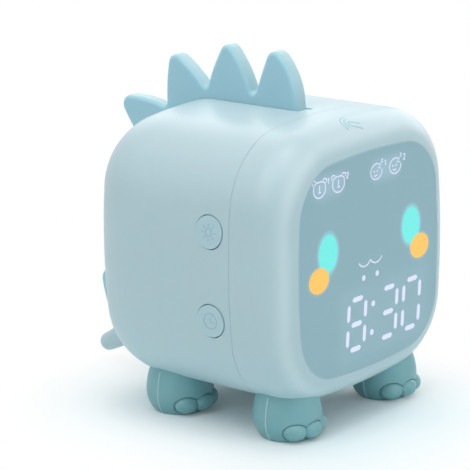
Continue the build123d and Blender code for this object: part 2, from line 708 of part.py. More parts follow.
def rear_cuts():
    """Holes and pockets of the rear shell."""
    cuts = [crest_slot()]
    for x, z in case_screw_places():
        cuts.append(rod(WELL_R, (x, PARTING_Y + POST_FLOOR, z), (x, BACK_Y + 1, z)))
        cuts.append(rod(SCREW_R + FIT, (x, PARTING_Y - 1, z), (x, PARTING_Y + POST_FLOOR + 1, z)))
    for side in (-1, 1):
        for y, z in key_screw_places():
            cuts.append(across_rod(PILOT_R, side, KEY_BOARD_X - 1, KEY_BOARD_X + BOARD_SCREW_L, y, z))
        for z in BUTTON_Z:
            cuts.append(across_rod(BUTTON_R + BUTTON_GAP, side, FLANGE_X, BODY_W, BUTTON_Y, z))
    for x, y, z, outward in ear_places():
        place, up = Vector(x, y, z), Vector(*outward)
        cuts.append(rod(PILOT_R, place - up, place + up * (BOARD_SCREW_L - CHANNEL_FLOOR)))
    for side in (-1, 1):
        x = USB_X + side * CHARGE_SCREW_X
        end_y = CHARGE_BOARD_Y + BOARD_SCREW_L
        cuts.append(rod(PILOT_R, (x, CHARGE_BOARD_Y - 1, USB_Z), (x, end_y, USB_Z)))
    cuts.append(slab(Pos(USB_X, 0) * usb_outline(USB_CLEAR), CHARGE_BOARD_Y, BACK_Y + 1, USB_Z))
    for x, y in grille_places():
        cuts.append(rod(GRILLE_HOLE_R, (x, SPEAKER_Y + y, 0), (x, SPEAKER_Y + y, SPEAKER_Z)))
    return cuts


def rear_shell(outer):
    """Sides, top, bottom and back in one moulding with the tail."""
    inner = body_form(WALL, FRONT_WALL)
    behind = half_space(PARTING_Y, BACK_Y + 2 * TAIL_REACH)
    shell = ((outer + tail()) - inner) & behind
    for boss in rear_bosses():
        shell += boss & outer & behind
    for cut in rear_cuts():
        shell -= cut
    shell = with_foot_seats(shell, outer, ENDS["rear"])
    return shell - lip(WALL / 2, WALL)


# ---- Buttons and keys ------------------------------------------------------------------------------
def button_cap(side, z, outer):
    """A round cap flush with the side wall, with a flange that keeps it in."""
    skin = Pos(side * BUTTON_PROUD, 0, 0) * outer
    cap = across_rod(BUTTON_R, side, FLANGE_X, BODY_W, BUTTON_Y, z) & skin
    return cap + across_rod(FLANGE_R, side, FLANGE_X - FLANGE_T, FLANGE_X, BUTTON_Y, z)


def switch_plunger(side, z):
    return across_rod(PLUNGER_R, side, SWITCH_X - PLUNGER_DEEP, SWITCH_X + PLUNGER_PROUD, BUTTON_Y, z)


def key_switches(side):
    """The two switch housings on a key board, each with a blind hole for its plunger."""
    housings = []
    for z in BUTTON_Z:
        housing = Pos(side * (KEY_BOARD_X + SWITCH_H / 2), BUTTON_Y, z) * Box(SWITCH_H, SWITCH_W, SWITCH_W)
        floor_x = SWITCH_X - PLUNGER_DEEP - BUTTON_TRAVEL - RUN_GAP
        housing -= across_rod(PLUNGER_R + RUN_GAP, side, floor_x, SWITCH_X + 1, BUTTON_Y, z)
        housings.append(housing)
    return housings


def key_board(side):
    centre = (side * (KEY_BOARD_X - BOARD_T / 2), BUTTON_Y, MID_Z - BUTTON_DROP)
    board = Pos(*centre) * Box(BOARD_T, KEY_BOARD_W, KEY_BOARD_H)
    for y, z in key_screw_places():
        board -= across_rod(SCREW_R + FIT, side, KEY_BOARD_X - 2 * BOARD_T, KEY_BOARD_X + 1, y, z)
    return board


# ---- Boards and other inner pieces -----------------------------------------------------------------
def main_board():
    outline = RectangleRounded(BOARD_W, BOARD_H, BOARD_CORNER_R)
    board = slab(outline, BOARD_Y, BOARD_Y + BOARD_T, MID_Z)
    for x, z in board_screw_places():
        board -= rod(SCREW_R + FIT, (x, BOARD_Y - 1, z), (x, BOARD_Y + BOARD_T + 1, z))
    return board


def display_leds():
    """One light chip on the board for each cell of the light block."""
    places = []
    lean = sin(radians(DIGIT_SLANT))
    for x in digit_centres():
        for dx, dz, tilt in segment_places().values():
            places.append((x + dx + dz * lean, MID_Z + TIME_RISE + dz, tilt - DIGIT_SLANT if tilt else 0))
    for side in (-1, 1):
        rise = side * COLON_SPACING / 2
        places.append((TIME_SHIFT + rise * lean, MID_Z + TIME_RISE + rise, 0))
        places.append((side * EYE_X, MID_Z + EYE_RISE, 0))
        places.append((side * CHEEK_X, MID_Z + CHEEK_RISE, 0))
        places.append((side * NOSTRIL_X, MID_Z + NOSTRIL_RISE, 0))
    chip = extrude(Rectangle(LED_L, LED_W), amount=LED_H)
    return [facing(BOARD_Y, z, x) * Rot(0, 0, tilt) * chip for x, z, tilt in places]


def board_chips():
    """Clock, sound and driver chips and the buffer capacitor on the back of the main board."""
    back = BOARD_Y + BOARD_T
    chips = []
    for x, z, width, height, thickness in CHIPS:
        chips.append(Pos(x, back + thickness / 2, MID_Z + z) * Box(width, thickness, height))
    z = MID_Z - CAPACITOR_DROP
    chips.append(rod(CAPACITOR_R, (CAPACITOR_X, back, z), (CAPACITOR_X, back + CAPACITOR_L, z)))
    return chips


def board_sockets():
    """White plug sockets for the leads of the keys, speaker, battery, crest strip and charge board."""
    y = BOARD_Y + BOARD_T + SOCKET_T / 2
    return [Pos(x, y, MID_Z + z) * Box(SOCKET_W, SOCKET_T, SOCKET_H) for x, z in SOCKETS.values()]


def lead_ends():
    """Where each lead meets its piece, the direction in which it arrives and how softly it bends."""
    keys_x, keys_y = KEY_BOARD_X - BOARD_T, BUTTON_Y - LEAD_R
    rim_reach = (SPEAKER_R - SPEAKER_RIM / 3) * sin(radians(45))
    battery_x = BATTERY_SIDE - BATTERY_T + BATTERY_EDGE_R + LEAD_R
    charge_y = CHARGE_BOARD_Y - CHARGE_BOARD_T
    strip_z = TOP_Z - (STRIP_OUT + CHANNEL_OUT) / 2
    pad_y = FRONT_Y + TOUCH_SETBACK + TOUCH_PAD_R / 2
    middle_z = MID_Z + KEY_SCREW_Z / 2
    return {
        "left keys": ((-keys_x, keys_y, middle_z), (-1, 0, 0), SHORT_BEND),
        "right keys": ((keys_x, keys_y, middle_z), (1, 0, 0), SHORT_BEND),
        "battery": ((-battery_x, FRONT_Y + BATTERY_FRONT, MID_Z + BEND), (0, 1, 0), BEND),
        "speaker": ((rim_reach, SPEAKER_Y - rim_reach, SPEAKER_Z + SPEAKER_RIM_T), (0, 0, -1), LONG_BEND),
        "charge board": ((USB_X + USB_W / 2, charge_y, USB_Z + USB_H), (0, 1, 0), LONG_BEND),
        "crest": ((0, CREST_FRONT_Y, strip_z), (0, 1, 0), BEND),
        "touch pad": ((-TOUCH_PAD_R / 2, pad_y, TOP_Z - WALL - TOUCH_PAD_T), (0, 0, 1), BEND),
    }


def leads():
    """Round leads from the sockets, bent softly so that each leaves and arrives straight on."""
    start_y = BOARD_Y + BOARD_T + SOCKET_T
    wires = []
    for name, (end, direction, bend) in lead_ends().items():
        x, z = SOCKETS[name]
        start, end, arrive = Vector(x, start_y, MID_Z + z), Vector(*end), Vector(*direction)
        leave = Vector(0, 1, 0)
        path = Bezier(start, start + leave * bend, end - arrive * bend, end)
        wires.append(sweep(Plane(origin=start, z_dir=leave) * Circle(LEAD_R), path=path))
    return wires


def speaker_frame():
    """Pressed basket: flange on the seat, cone-shaped body, closed by the magnet."""
    inner_r = SPEAKER_R - SPEAKER_RIM
    outline = [
        (inner_r, 0),
        (SPEAKER_R, 0),
        (SPEAKER_R, SPEAKER_RIM_T),
        (inner_r + BASKET_T, SPEAKER_RIM_T),
        (BASKET_NECK_R, BASKET_H),
        (CONE_THROAT_R, BASKET_H),
        (CONE_THROAT_R, BASKET_H - BASKET_T),
        (BASKET_NECK_R - BASKET_T, BASKET_H - BASKET_T),
        (inner_r, BASKET_T),
    ]
    basket = revolve(Plane.XZ * Polygon(*outline, align=None), Axis.Z)
    return Pos(0, SPEAKER_Y, SPEAKER_Z) * basket


def speaker_cone():
    """Paper cone with its dust cap, just inside the flange."""
    throat_z = CONE_T + CONE_DEPTH
    outline = [
        (0, throat_z - CONE_T),
        (CONE_THROAT_R, throat_z),
        (CONE_R, CONE_T),
        (CONE_R, 2 * CONE_T),
        (CONE_THROAT_R + CONE_T, throat_z + 2 * CONE_T),
        (0, throat_z + CONE_T),
    ]
    cone = revolve(Plane.XZ * Polygon(*outline, align=None), Axis.Z)
    return Pos(0, SPEAKER_Y, SPEAKER_Z) * cone


def speaker_magnet():
    return rod(MAGNET_R, (0, SPEAKER_Y, SPEAKER_Z + BASKET_H), (0, SPEAKER_Y, SPEAKER_Z + SPEAKER_H))


def battery():
    """Flat rechargeable cell that stands along the left wall."""
    middle_y = FRONT_Y + BATTERY_FRONT + BATTERY_W / 2
    cell = Pos(-BATTERY_SIDE + BATTERY_T / 2, middle_y, MID_Z) * Box(BATTERY_T, BATTERY_W, BATTERY_H)
    return fillet(cell.edges().filter_by(Axis.Z), BATTERY_EDGE_R)


def battery_pad(inner):
    """Foam tape that fills the space between the cell and the curved wall."""
    middle_y = FRONT_Y + BATTERY_FRONT + BATTERY_W / 2
    depth = SIDE_IN - BATTERY_SIDE + WALL
    size = (depth, BATTERY_W - 2 * PAD_EDGE, BATTERY_H - 2 * PAD_EDGE)
    return Pos(-BATTERY_SIDE - depth / 2, middle_y, MID_Z) * Box(*size) & inner


def charge_board():
    outline = Pos(USB_X, 0) * Rectangle(CHARGE_BOARD_W, CHARGE_BOARD_H)
    plate = slab(outline, CHARGE_BOARD_Y - CHARGE_BOARD_T, CHARGE_BOARD_Y, USB_Z)
    for side in (-1, 1):
        x = USB_X + side * CHARGE_SCREW_X
        start_y = CHARGE_BOARD_Y - 2 * CHARGE_BOARD_T
        plate -= rod(SCREW_R + FIT, (x, start_y, USB_Z), (x, CHARGE_BOARD_Y + 1, USB_Z))
    return plate


def usb_socket():
    """Upright charging inlet: a rounded metal sleeve with a thin tongue inside."""
    body = slab(usb_outline(0), CHARGE_BOARD_Y, USB_MOUTH_Y)
    body -= slab(usb_outline(-USB_SKIN), CHARGE_BOARD_Y + 2 * USB_SKIN, USB_MOUTH_Y + 1)
    tongue = Rectangle(USB_TONGUE_W, USB_TONGUE_T)
    body += slab(tongue, CHARGE_BOARD_Y, USB_MOUTH_Y - USB_RECESS)
    return Pos(USB_X, 0, USB_Z) * body


def touch_pad(inner):
    """Copper sensing disc under the top wall, in front of the crest."""
    y = FRONT_Y + TOUCH_SETBACK
    return rod(TOUCH_PAD_R, (0, y, TOP_Z - WALL - TOUCH_PAD_T), (0, y, TOP_Z)) & inner


# ---- Feet ------------------------------------------------------------------------------------------
def paw(inset):
    """The barrel of a foot, with its side moved in by inset."""
    sole, belly = (SOLE_R - inset, 0), (FOOT_R - inset, FOOT_BELLY)
    side = [
        Line((0, 0), sole),
        TangentArc(belly, sole, tangent=(0, -1)),
        TangentArc(belly, (FOOT_RIM_R - inset, FOOT_TOP), tangent=(0, 1)),
        Line((FOOT_RIM_R - inset, FOOT_TOP), (0, FOOT_TOP)),
        Line((0, FOOT_TOP), (0, 0)),
    ]
    return revolve(Plane.XZ * make_face(side), Axis.Z)


def toe(margin):
    """An egg shape that lies across, made larger all round by margin."""
    width, height = TOE_W + 2 * margin, TOE_H + 2 * margin
    upper_half = Pos(0, height) * Rectangle(2 * width, 2 * height)
    return revolve(Ellipse(width / 2, height / 2) & upper_half, Axis.X)


def foot(x, y, outer):
    """A soft barrel-shaped paw with three creased toes and a spigot that goes up into the body."""
    shape = paw(0)
    reach = FOOT_R + TOE_PROUD - TOE_H / 2
    places = [Pos(0, 0, TOE_RISE) * Rot(0, 0, step * TOE_STEP) * Pos(0, -reach, 0) for step in (-1, 0, 1)]
    for place in places:
        shape -= place * toe(TOE_CREASE) - paw(TOE_CREASE_D)
    for place in places:
        shape += place * toe(0)
    shape = Pos(x, y, 0) * shape - outer
    shape += rod(SPIGOT_R, (x, y, GROUND - 1), (x, y, FOOT_SEAT_Z - FIT))
    return shape - rod(PILOT_R, (x, y, FOOT_SEAT_Z - FOOT_SCREW_L), (x, y, FOOT_SEAT_Z))


# ---- Screws ----------------------------------------------------------------------------------------
def screw(seat, direction, length, head_r=SCREW_HEAD_R):
    """A screw whose head, with a cross recess, sits at seat and whose shank runs along direction."""
    seat, along = Vector(*seat), Vector(*direction)
    top = seat - along * SCREW_HEAD_H
    cross = Box(RECESS_L, RECESS_W, 2 * RECESS_D) + Box(RECESS_W, RECESS_L, 2 * RECESS_D)
    shape = rod(head_r, top, seat) + rod(PILOT_R, seat, seat + along * length)
    return shape - Plane(origin=top, z_dir=along) * cross


def screws():
    """Every group of screws by its node name."""
    bite = BOARD_SCREW_L - SCREW_END_GAP
    case_l = POST_FLOOR + CASE_SCREW_BITE - SCREW_END_GAP
    case = [screw((x, PARTING_Y + POST_FLOOR, z), (0, -1, 0), case_l) for x, z in case_screw_places()]
    board = [screw((x, BOARD_Y + BOARD_T, z), (0, -1, 0), BOARD_T + bite) for x, z in board_screw_places()]
    keys, charge, feet = [], [], []
    for side in (-1, 1):
        for y, z in key_screw_places():
            keys.append(screw((side * (KEY_BOARD_X - BOARD_T), y, z), (side, 0, 0), BOARD_T + bite))
        seat = (USB_X + side * CHARGE_SCREW_X, CHARGE_BOARD_Y - CHARGE_BOARD_T, USB_Z)
        charge.append(screw(seat, (0, 1, 0), CHARGE_BOARD_T + bite))
        for y in ENDS.values():
            seat = (side * FOOT_X, y, FOOT_SEAT_Z)
            feet.append(screw(seat, (0, 0, -1), FOOT_SCREW_L - SCREW_END_GAP, FOOT_SCREW_HEAD_R))
    channel = []
    for x, y, z, outward in ear_places():
        channel.append(screw(Vector(x, y, z) - Vector(*outward) * CHANNEL_FLOOR, outward, bite))
    return {
        "case_screws": case,
        "main_board_screws": board,
        "key_board_screws": keys,
        "channel_screws": channel,
        "charge_board_screws": charge,
        "foot_screws": feet,
    }


# ---- Assembly --------------------------------------------------------------------------------------
def save(name, shape):
    """Writes one named sub-part. A list is a group of separate solids."""
    if isinstance(shape, (list, tuple)):
        shape = Compound([solid for item in shape for solid in item.solids()])
    export_step(shape, f"parts/{name}.step")


def build():
    os.makedirs("parts", exist_ok=True)
    outer = body_form(0, 0)
    inner = body_form(WALL, FRONT_WALL)
    lights = face_windows()
    nodes = {
        "front_shell": front_shell(outer),
        "rear_shell": rear_shell(outer),
        "night_light_crest": night_light_crest(),
        "crest_light_channel": crest_light_channel(),
        "crest_light_strip": crest_light_strip(),
        "crest_leds": crest_leds(),
        "display_lens": display_lens([window for group in lights.values() for window in group]),
        "light_block": light_block(),
        "main_board": main_board(),
        "display_leds": display_leds(),
        "board_chips": board_chips(),
        "board_sockets": board_sockets(),
        "leads": leads(),
        "speaker_frame": speaker_frame(),
        "speaker_cone": speaker_cone(),
        "speaker_magnet": speaker_magnet(),
        "battery": battery(),
        "battery_pad": battery_pad(inner),
        "charge_board": charge_board(),
        "usb_socket": usb_socket(),
        "touch_pad": touch_pad(inner),
    }
    nodes.update(lights)
    for side_name, side in SIDES.items():
        nodes[f"key_board_{side_name}"] = key_board(side)
        nodes[f"key_switches_{side_name}"] = key_switches(side)
        for level_name, z in LEVELS.items():
            nodes[f"button_{side_name}_{level_name}"] = button_cap(side, z, outer)
            nodes[f"plunger_{side_name}_{level_name}"] = switch_plunger(side, z)
        for end_name, y in ENDS.items():
            nodes[f"foot_{end_name}_{side_name}"] = foot(side * FOOT_X, y, outer)
    nodes.update(screws())
    for name, shape in nodes.items():
        save(name, shape)


build()
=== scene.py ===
# %% [markdown]
# # A dinosaur alarm clock with a night light
# The object is a small bedside clock: a rounded plastic cube with a lit face, a row of soft spikes that
# glows at night, and four toed feet. Its real shapes were made as solids in a CAD program and arrive here
# as a fixed frame. In Blender we give each of them the finish of its real material, and we add what is too
# fine for a solid: the lit icons, the moulded signs, the bead round the lens, the lip in the crest's slot,
# the flash lines of the feet and the contacts of the inlet.

# %% Load the frame
import bpy
from math import cos, pi, radians, sin
from mathutils import Matrix, Vector


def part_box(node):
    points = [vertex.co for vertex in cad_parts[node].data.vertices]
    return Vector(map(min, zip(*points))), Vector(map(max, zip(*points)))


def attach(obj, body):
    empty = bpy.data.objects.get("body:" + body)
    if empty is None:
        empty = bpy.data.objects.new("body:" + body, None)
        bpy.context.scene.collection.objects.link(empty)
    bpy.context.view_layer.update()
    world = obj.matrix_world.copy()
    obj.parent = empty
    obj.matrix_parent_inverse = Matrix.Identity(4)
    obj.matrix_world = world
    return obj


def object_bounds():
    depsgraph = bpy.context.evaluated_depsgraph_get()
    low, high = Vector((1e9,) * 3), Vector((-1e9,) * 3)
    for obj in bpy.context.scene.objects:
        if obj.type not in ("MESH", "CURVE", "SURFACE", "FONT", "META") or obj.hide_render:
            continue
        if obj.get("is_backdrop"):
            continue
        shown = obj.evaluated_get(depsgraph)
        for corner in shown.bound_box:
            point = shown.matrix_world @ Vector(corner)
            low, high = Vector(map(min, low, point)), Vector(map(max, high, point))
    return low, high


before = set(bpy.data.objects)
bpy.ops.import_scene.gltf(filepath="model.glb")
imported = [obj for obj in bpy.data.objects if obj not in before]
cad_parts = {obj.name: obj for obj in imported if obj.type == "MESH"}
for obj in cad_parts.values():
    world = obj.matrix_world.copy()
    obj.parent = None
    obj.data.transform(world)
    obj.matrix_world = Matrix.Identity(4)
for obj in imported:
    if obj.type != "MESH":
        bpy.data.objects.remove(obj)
cad_low, cad_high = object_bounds()
MM = 0.001
print("CAD box in mm:", [round((high - low) / MM, 1) for low, high in zip(cad_low, cad_high)])

# %% [markdown]
# ## Places on the object
# Every later step needs a few landmarks, such as the front of the lens or the middle of a button. Typing
# them in again would break as soon as a size changes, so they are read from the boxes of the CAD nodes.

# %% Landmarks


def middle(node):
    """Centre of a CAD node's box."""
    low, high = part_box(node)
    return (Vector(low) + Vector(high)) / 2


shell_low, shell_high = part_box("front_shell")
lens_low, lens_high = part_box("display_lens")
crest_low, crest_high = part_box("night_light_crest")
FACE_Y = lens_low[1]
BODY_MIDDLE_Z = (shell_low[2] + shell_high[2]) / 2
BODY_TOP = shell_high[2]
CREST_FRONT_Y = crest_low[1]
CREST_HALF = (crest_high[0] - crest_low[0]) / 2
print("face at y", round(FACE_Y / MM, 2), "body middle at z", round(BODY_MIDDLE_Z / MM, 2))

# %% [markdown]
# ## The camera
# A product view from above the clock's left front corner shows the face, one side and the top at once. A
# long lens from about 0.8 m away keeps the cube's edges almost parallel, as in catalogue pictures. The
# camera's axes are built from three angles, because a rolled view is awkward to set with a tracking
# constraint.

# %% Camera
CAMERA_AT = Vector((-0.6122, -0.5116, 0.2632))
CAMERA_YAW = 50.27
CAMERA_PITCH = -14.66
CAMERA_ROLL = -1.06
LENS_LENGTH = 185.1
NEAREST_SEEN = 0.05

yaw, pitch, roll = radians(CAMERA_YAW), radians(CAMERA_PITCH), radians(CAMERA_ROLL)
forward = Vector((cos(pitch) * sin(yaw), cos(pitch) * cos(yaw), sin(pitch)))
level_right = Vector((cos(yaw), -sin(yaw), 0))
level_up = level_right.cross(forward)
right = cos(roll) * level_right + sin(roll) * level_up
up = cos(roll) * level_up - sin(roll) * level_right
camera = bpy.data.objects.new("camera", bpy.data.cameras.new("camera"))
bpy.context.collection.objects.link(camera)
camera.matrix_world = Matrix.Translation(CAMERA_AT) @ Matrix((right, up, -forward)).transposed().to_4x4()
camera.data.lens = LENS_LENGTH
camera.data.clip_start = NEAREST_SEEN
bpy.context.scene.camera = camera
bpy.context.scene.view_settings.view_transform = "Standard"
print("camera looks along", [round(part, 3) for part in forward])

# %% [markdown]
# ## Colours and nodes
# Colour pickers show sRGB values, but a renderer adds light in linear values, so one function translates. A
# second small function adds a shader node with its settings and its links, so each material below reads as
# a short recipe.

# %% Colour and node helpers


def linear(code):
    """An sRGB hex colour as linear red, green, blue and full alpha."""
    channels = [int(code[place : place + 2], 16) / 255 for place in (0, 2, 4)]
    return (*[c / 12.92 if c <= 0.04045 else ((c + 0.055) / 1.055) ** 2.4 for c in channels], 1.0)


def set_inputs(tree, node, inputs):
    """Sets a node's inputs: a socket is linked, anything else becomes the input's own value."""
    for name, value in inputs.items():
        if isinstance(value, bpy.types.NodeSocket):
            tree.links.new(value, node.inputs[name])
        else:
            node.inputs[name].default_value = value


def add_node(tree, kind, inputs, **settings):
    """Adds one node with its settings and links."""
    node = tree.nodes.new(kind)
    for name, value in settings.items():
        setattr(node, name, value)
    set_inputs(tree, node, inputs)
    return node


def new_material(name):
    """A material, its node tree, its Principled shader and the place on the object, in metres."""
    material = bpy.data.materials.new(name)
    material.use_nodes = True
    tree = material.node_tree
    place = add_node(tree, "ShaderNodeTexCoord", {}).outputs["Object"]
    return material, tree, tree.nodes["Principled BSDF"], place


print("white is", linear("FFFFFF")[:3])

# %% [markdown]
# ## Patterns
# A real surface is never one flat colour. Two patterns come back in almost every material here: a slow
# drift between two close colours, and a fine relief that bends the light. Both are noise, whose scale is
# worked out from a real size in millimetres. How broken up the noise looks is its detail.

# %% Pattern helpers
BROAD = 1.0
MEDIUM = 2.0
FINE = 3.0


def per_metre(size_mm):
    """The texture scale at which one grain of a pattern is size_mm wide."""
    return 1 / (size_mm * MM)


def colour_drift(tree, place, patch_mm, detail, colour, second):
    """A colour that drifts between two hex colours over patches of a given size."""
    patch = {"Vector": place, "Scale": per_metre(patch_mm), "Detail": detail}
    patch = add_node(tree, "ShaderNodeTexNoise", patch)
    blend = {0: patch.outputs["Fac"], 6: linear(colour), 7: linear(second)}
    return add_node(tree, "ShaderNodeMix", blend, data_type="RGBA").outputs[2]


def fine_relief(tree, place, grain_mm, detail, strength, depth_mm):
    """The normal of a surface with a grain of a given size and depth."""
    grain = {"Vector": place, "Scale": per_metre(grain_mm), "Detail": detail}
    grain = add_node(tree, "ShaderNodeTexNoise", grain)
    relief = {"Height": grain.outputs["Fac"], "Strength": strength, "Distance": depth_mm * MM}
    return add_node(tree, "ShaderNodeBump", relief).outputs["Normal"]


print("a grain of 0.5 mm has the scale", per_metre(0.5))

# %% [markdown]
# ## Distances that fade
# A glow, a rim or the end of a shadow isn't a pattern: it depends on how far a point lies from something.
# The distance is worked out with a few Math nodes in the object's own space, so it stays on the object when
# the view turns, and a Map Range node with a smooth step turns it into a soft fade.

# %% Distance helpers
SMOOTH = {"interpolation_type": "SMOOTHSTEP"}


def distance_outside(tree, axes, spans):
    """How far a point lies outside a rectangle with the given spans along two of the axes."""
    beyond = {}
    for axis, (low, high) in spans.items():
        centre, half = (low + high) / 2, (high - low) / 2
        reach = axes.outputs[axis]
        steps = [("SUBTRACT", centre), ("ABSOLUTE", 0.0), ("SUBTRACT", half), ("MAXIMUM", 0.0)]
        for operation, value in steps:
            reach = add_node(tree, "ShaderNodeMath", {0: reach, 1: value}, operation=operation).outputs[0]
        beyond[axis] = reach
    at = add_node(tree, "ShaderNodeCombineXYZ", beyond)
    return add_node(tree, "ShaderNodeVectorMath", {0: at.outputs[0]}, operation="LENGTH").outputs["Value"]


def falling(value, start, end):
    """The inputs of a fade from 1 at start to 0 at end."""
    return {"Value": value, "From Min": start, "From Max": end, "To Min": 1.0, "To Max": 0.0}


print("fades use", SMOOTH["interpolation_type"])

# %% [markdown]
# ## Moulded ABS for the case
# The case is injection-moulded ABS. The mould was finished with a very fine spark texture, which gives the
# eye a soft, even sheen with no sharp reflections. The real grain is a few hundredths of a millimetre, too
# fine to show, so it is drawn at a third of a millimetre and very shallow. A broad, faint drift in the
# colour stands for the flow of the plastic in the mould, and a little subsurface light for its milkiness.

# %% Shell material
SHELL_BLUE = "C1D8DE"
SHELL_SHADE = "BCD4DB"
SHELL_ROUGHNESS = 0.40
ABS_IOR = 1.53
ABS_MILKINESS = 0.08
ABS_LIGHT_REACH = 1.5 * MM
FLOW_MM = 45.0
SPARK_GRAIN_MM = 0.35
SPARK_DEPTH_MM = 0.03
SPARK_STRENGTH = 0.12


def moulded_abs(name, colour, shade, roughness):
    """Spark-textured ABS in a colour that drifts slightly towards a shade."""
    material, tree, shader, place = new_material(name)
    inputs = {
        "Base Color": colour_drift(tree, place, FLOW_MM, BROAD, colour, shade),
        "Roughness": roughness,
        "IOR": ABS_IOR,
        "Normal": fine_relief(tree, place, SPARK_GRAIN_MM, FINE, SPARK_STRENGTH, SPARK_DEPTH_MM),
        "Subsurface Weight": ABS_MILKINESS,
        "Subsurface Scale": ABS_LIGHT_REACH,
    }
    set_inputs(tree, shader, inputs)
    return material


shell_abs = moulded_abs("ABS_spark_textured_pale_blue", SHELL_BLUE, SHELL_SHADE, SHELL_ROUGHNESS)
# The front shell gets its own copy of the material, which carries the painted highlight round the lens.
front_abs_painted_highlight = moulded_abs("ABS_spark_textured_front_painted_highlight", SHELL_BLUE, SHELL_SHADE, SHELL_ROUGHNESS)
print("made", shell_abs.name, "and", front_abs_painted_highlight.name)

# %% [markdown]
# ## The painted highlight round the lens
# The rounded edge of the case round the lens catches the light and looks a little paler than the rest.
# That is painted into the colour as a highlight: a band at a set distance outside a rounded rectangle as
# large as the lens, which dies away a few millimetres behind the face.

# %% Painted highlight round the lens
# Colour and place of the painted highlight round the lens.
PAINTED_HIGHLIGHT_COLOUR = "D3E6EC"
PAINTED_HIGHLIGHT_OUT = 5.5 * MM
PAINTED_HIGHLIGHT_WIDTH = 4.0 * MM
PAINTED_HIGHLIGHT_DEPTH = 7.0 * MM
LENS_CORNER = 20.0 * MM


def add_painted_highlight(material):
    """Paints a highlight into a material: a lighter band round the lens, near the front of the case."""
    tree = material.node_tree
    shader = tree.nodes["Principled BSDF"]
    place = add_node(tree, "ShaderNodeTexCoord", {}).outputs["Object"]
    axes = add_node(tree, "ShaderNodeSeparateXYZ", {"Vector": place})
    spans = {}
    for number, axis in ((0, "X"), (2, "Z")):
        spans[axis] = (lens_low[number] + LENS_CORNER, lens_high[number] - LENS_CORNER)
    reach = distance_outside(tree, axes, spans)
    off = add_node(tree, "ShaderNodeMath", {0: reach, 1: LENS_CORNER + PAINTED_HIGHLIGHT_OUT}, operation="SUBTRACT")
    off = add_node(tree, "ShaderNodeMath", {0: off.outputs[0]}, operation="ABSOLUTE")
    near = add_node(tree, "ShaderNodeMapRange", falling(off.outputs[0], 0.0, PAINTED_HIGHLIGHT_WIDTH), **SMOOTH)
    front = falling(axes.outputs["Y"], cad_low[1], cad_low[1] + PAINTED_HIGHLIGHT_DEPTH)
    front = add_node(tree, "ShaderNodeMapRange", front, **SMOOTH)
    share = {0: near.outputs["Result"], 1: front.outputs["Result"]}
    share = add_node(tree, "ShaderNodeMath", share, operation="MULTIPLY")
    # The band's lighter colour is a painted highlight, mixed into the case's own colour.
    plain = shader.inputs["Base Color"].links[0].from_socket
    rim = {0: share.outputs[0], 6: plain, 7: linear(PAINTED_HIGHLIGHT_COLOUR)}
    rim = add_node(tree, "ShaderNodeMix", rim, data_type="RGBA")
    set_inputs(tree, shader, {"Base Color": rim.outputs[2]})


add_painted_highlight(front_abs_painted_highlight)
print("rim from", PAINTED_HIGHLIGHT_OUT / MM - PAINTED_HIGHLIGHT_WIDTH / MM, "to", PAINTED_HIGHLIGHT_OUT / MM + PAINTED_HIGHLIGHT_WIDTH / MM, "mm outside the lens")

# %% [markdown]
# ## Dressing the case
# A CAD node keeps its mesh and only gets a better material in its slots. The buttons are moulded in the
# same plastic as the shells, from another mould, so their colour and sheen are close but not the same.

# %% Dress the shells and buttons


def dress(material, *nodes):
    """Gives CAD nodes a material in every slot."""
    for name in nodes:
        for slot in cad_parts[name].material_slots:
            slot.material = material


BUTTONS = [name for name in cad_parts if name.startswith("button_")]
BUTTON_BLUE = "BDD9E0"
BUTTON_SHADE = "B8D5DD"
BUTTON_ROUGHNESS = 0.42
button_abs = moulded_abs("ABS_spark_textured_button", BUTTON_BLUE, BUTTON_SHADE, BUTTON_ROUGHNESS)
dress(front_abs_painted_highlight, "front_shell")
dress(shell_abs, "rear_shell")
dress(button_abs, *BUTTONS)
print("dressed the shells and", len(BUTTONS), "buttons")

# %% [markdown]
# ## Frosted silicone for the crest
# The spikes are one soft silicone blade that carries light from its root. Silicone lets light in a little
# way and scatters it, and subsurface scattering gives the soft shading. The flat sides keep the deeper
# colour, while the rounded edges, which catch the light, are painted paler as a highlight. The painted
# highlight is set by how far a point lies from the blade's flat sides, which holds from every view.

# %% Crest material
CREST_SIDE = "B0DAE7"
# The edge colour and the two distances below make the painted highlight on the blade's rounded edges.
CREST_EDGE_HIGHLIGHT = "BCDCE2"
EDGE_HIGHLIGHT_STARTS = 0.1 * MM
EDGE_HIGHLIGHT_FULL = 2.2 * MM
SILICONE_IOR = 1.41
SILICONE_ROUGHNESS = 0.5
SILICONE_MILKINESS = 0.35
SILICONE_LIGHT_REACH = 3.0 * MM
SILICONE_REACH_SHARES = (0.6, 0.9, 1.0)
FROST_GRAIN_MM = 0.5
FROST_DEPTH_MM = 0.03
FROST_STRENGTH = 0.1

silicone, tree, shader, place = new_material("Silicone_frosted_crest")
axes = add_node(tree, "ShaderNodeSeparateXYZ", {"Vector": place})
across = add_node(tree, "ShaderNodeMath", {0: axes.outputs["X"]}, operation="ABSOLUTE")
